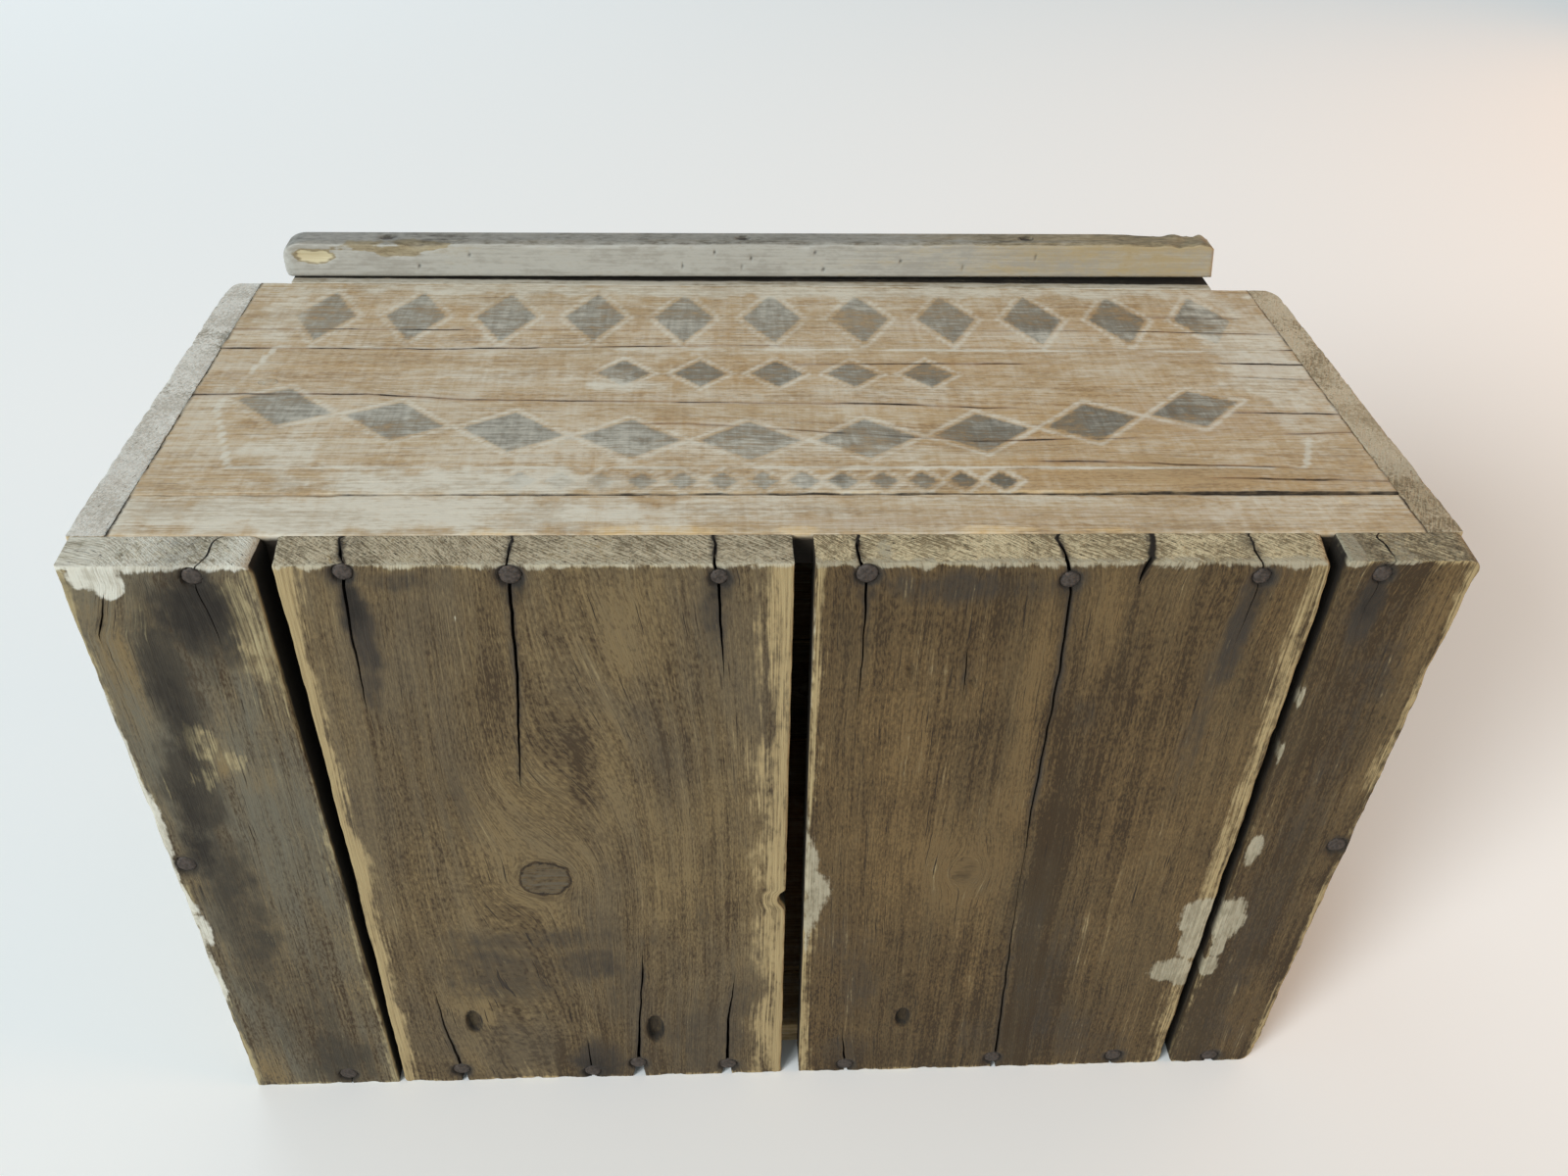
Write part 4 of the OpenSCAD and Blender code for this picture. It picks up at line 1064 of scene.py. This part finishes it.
# The lip: seated at one end, lifted at the other, so its mesh is built level and then raised along X
lipLo, lipHi = cadBox("lid_lip")
lipPoints = cadPoints("lid_lip")
lipRise = lipPoints[lipPoints[:, 0] > lipHi[0] - 20, 2].min() - lipLo[2]
lipLook = {
    # tack holes in its front, each by its x and how high it is
    "holes": [(-150, 5.5), (-128, 11), (-36, 6), (-22, 12), (-10, 5), (-6, 9), (22, 12), (26, 4.5), (60, 8),
              (88, 5), (120, 10)],
    "nails": headPlaces("lid_lip_nails", 2, 0, 1),
    "ovalHead": 0.6,        # its nails are oval: this much as wide across the grain as along it
    "scallop": (46, 29),    # the long chip along its top arris: middle from the seated end, half its length
    "bite": (12.5, 10, 9, 4),       # the chip in its front: middle along and up, half its length and height
}


def makeLip(look):
    length, deep, tall = lipHi - lipLo
    tall -= lipRise
    holes = [(x - lipLo[0], height) for x, height in look["holes"]]
    lengthSteps = gradedSteps(0, length, 1.4, [x + s for x, height in holes for s in (-1, -0.4, 0, 0.4, 1)])
    deepSteps = gradedSteps(0, deep, 0.9)
    tallSteps = gradedSteps(0, tall, 1.1)
    (i, j, k), quads = skinOfLattice(len(lengthSteps), len(deepSteps), len(tallSteps))
    u, v, w = lengthSteps[i], deepSteps[j], tallSteps[k]
    front, top = v, tall - w
    dirtAndShade = np.zeros_like(u)
    for nailX, nailY, share in look["nails"]:
        reach = np.hypot(u - (nailX - lipLo[0]), (v - (nailY - lipLo[1])) / look["ovalHead"])
        w = w - 1.2 * (reach < 2.9) * (k == len(tallSteps) - 1)
        dirtAndShade = np.maximum(dirtAndShade, 0.8 * np.clip(1.4 - (reach - 2.8) / 0.9, 0, 1) * (top < 1))
    chipped = np.clip(layeredNoise(u / 16, v / 8, 303) * 2 - 0.5, 0.35, 1.5) * (dirtAndShade < 0.1)
    reach = 2.6 * chipped + 0.4
    v, w = roundArris(v, w, v, tall - w, reach, reach, 1, -1)
    v, w = roundArris(v, w, deep - v, tall - w, 1.2, 1.2, -1, -1)
    v, w = roundArris(v, w, v, w, 2.0, 2.0, 1, 1)
    u, w = roundArris(u, w, u, tall - w, 9, 9, 1, -1)
    u, v = roundArris(u, v, u, v, 5, 5, 1, 1)
    u, w = roundArris(u, w, u, w, 2.5, 2.5, 1, 1)
    u, w = roundArris(u, w, length - u, tall - w, 5, 3, -1, -1)
    u, v = roundArris(u, v, length - u, v, 2, 2, -1, 1)
    # Chips: a long scallop along the top arris near the seated end, a bite at that end, a ragged loose end
    middle, half = look["scallop"]
    scallop = np.clip(1 - ((u - middle) / half) ** 2, 0, 1) * np.clip(1.6 - top / 5, 0, 1)
    scallop = scallop * np.clip(1 - front / 7, 0, 1)
    scallop = scallop * np.clip(2.4 * layeredNoise(u / 9, w / 3, 307) - 0.3, 0.35, 1.5)
    biteU, biteW, reachU, reachW = look["bite"]
    bite = 1 - np.hypot((u - biteU) / reachU, (w - biteW) / reachW) ** 2
    bite = bite + 1.1 * (layeredNoise(u / 4, w / 3, 337) - 0.5)
    bite = np.clip(bite, 0, 1) * (front < 1)
    loose = np.clip((u - length + 46) / 46, 0, 1) * np.clip(1 - top / 3, 0, 1)
    w = w - 0.9 * scallop - 2.2 * loose * np.clip(2.4 * layeredNoise(u / 6, v / 6, 311) - 0.6, 0, 1)
    v = v + 0.7 * scallop + 0.8 * bite
    v = v + 0.25 * (layeredNoise(u / 40, w / 9, 317) - 0.5) * (front < 1)
    # Its ends aren't sawn square: the seated one leans out at the top, the loose one at the bottom
    u = u - 2.6 * np.clip(1 - u / 25, 0, 1) + 2.2 * np.clip(1 + (u - length) / 20, 0, 1) * (1 - w / tall)
    hole = np.zeros_like(u)
    for x, height in holes:
        near = np.hypot((u - x) / 0.5, (w - height) / 0.7)
        hole = np.maximum(hole, np.clip(1.5 - near, 0, 1) * (front < 0.5))
    v = v + 0.5 * hole
    coords = np.stack([u + lipLo[0], v + lipLo[1], w + lipLo[2] + lipRise * u / length], 1)
    mesh = bpy.data.meshes.new("lidLip")
    mesh.from_pydata(coords * mm, [], quads.tolist())
    bare = np.maximum(scallop * 1.3, bite * 2)
    beige = np.clip((u - 230) / 90, 0, 1) * (0.6 + 0.6 * layeredNoise(u / 26, w / 10, 331))
    dusty = np.clip(1 - top / 1.2, 0, 1)
    blank = np.zeros_like(u)
    # Dirt on the nail rings and along its top face, painted shade along its lowest 1.5 mm over the lid, and
    # painted shade in the tack holes
    layFields(mesh, {
        "seed": blank + 5.1, "bend": blank, "stain": 0.7 * beige + 0.15 * dusty, "worn": 2 * bite - 0.5,
        "dirtAndShade": np.maximum(dirtAndShade, 0.5 * dusty + 0.8 * np.clip(1 - w / 1.5, 0, 1)),
        "paint": 1 - bare - 0.12 * beige,
        "stencil": blank, "creviceShade": hole * 0.8, "endGrain": blank, "tint": blank + 0.5, "knot": blank - 1,
    })
    return addPiece("lidLip", mesh, greyPaintedPine, "lid", "lid_lip")


makeLip(lipLook)
print("made lidLip")

nailLook = {
    # radius and depth below the top, in mm
    "head": [(0, 0.05), (1.6, 0.0), (3.0, 0.12), (3.7, 0.4), (headRadius, 0.8), (3.6, 1.15), (1.4, 1.2)],
    "shank": 1.4, "point": 6, "tip": 0.35, "sides": 20,
}


# One piece for each group of nails, each head a little out of round and rust-pitted
def makeNails(name, body, node, axis, outward, headScale, oval):
    shape = bmesh.new()
    rng = np.random.RandomState(len(name) * 7)
    for lo, hi in nailSpots(node, axis):
        top = hi[axis] if outward > 0 else lo[axis]
        reach = hi[axis] - lo[axis]
        profile = nailLook["head"] + [(nailLook["shank"], reach - nailLook["point"]),
                                      (nailLook["tip"], reach), (0, reach)]
        first, second = [a for a in range(3) if a != axis]
        centre = (lo + hi) / 2
        wobble = (0.94 + 0.06 * rng.rand(nailLook["sides"])) * headShare(centre)
        tilt = rng.uniform(-0.05, 0.05, 2)
        rings = []
        for radius, depth in profile:
            ring = []
            for n in range(nailLook["sides"] if radius else 1):
                angle = 2 * math.pi * n / nailLook["sides"]
                point = centre.copy()
                reachOut = radius * headScale * (wobble[n] if radius > 1.5 else 1)
                point[first] += reachOut * math.cos(angle)
                point[second] += reachOut * math.sin(angle) * oval
                lean = (tilt[0] * math.cos(angle) + tilt[1] * math.sin(angle)) * radius if depth < 2 else 0
                point[axis] = top - outward * (depth + abs(lean))
                ring.append(shape.verts.new(Vector(point * mm)))
            rings.append(ring)
        for above, below in zip(rings, rings[1:]):
            count = max(len(above), len(below))
            for n in range(count):
                loop = [above[n % len(above)], above[(n + 1) % len(above)],
                        below[(n + 1) % len(below)], below[n % len(below)]]
                loop = list(dict.fromkeys(loop))
                shape.faces.new(loop)
    bmesh.ops.recalc_face_normals(shape, faces=shape.faces)
    mesh = bpy.data.meshes.new(name)
    shape.to_mesh(mesh)
    shape.free()
    return addPiece(name, mesh, rustyNail, body, node)


for name, body, node, axis, outward, headScale, oval in (
        ("frontBottomNails", "crate", "front_bottom_nails", 1, -1, 1, 1),
        ("backBottomNails", "crate", "back_bottom_nails", 1, -1, 1, 1),
        ("endBottomNails", "crate", "end_bottom_nails", 1, -1, 1, 1),
        ("leftEndNails", "crate", "left_end_nails", 0, -1, 1, 1),
        ("rightEndNails", "crate", "right_end_nails", 0, 1, 1, 1),
        ("lidCleatNails", "lid", "lid_cleat_nails", 1, 1, 1, 1),
        ("lidLipNails", "lid", "lid_lip_nails", 2, 1, 0.7, lipLook["ovalHead"])):
    makeNails(name, body, node, axis, outward, headScale, oval)
print("made nails")
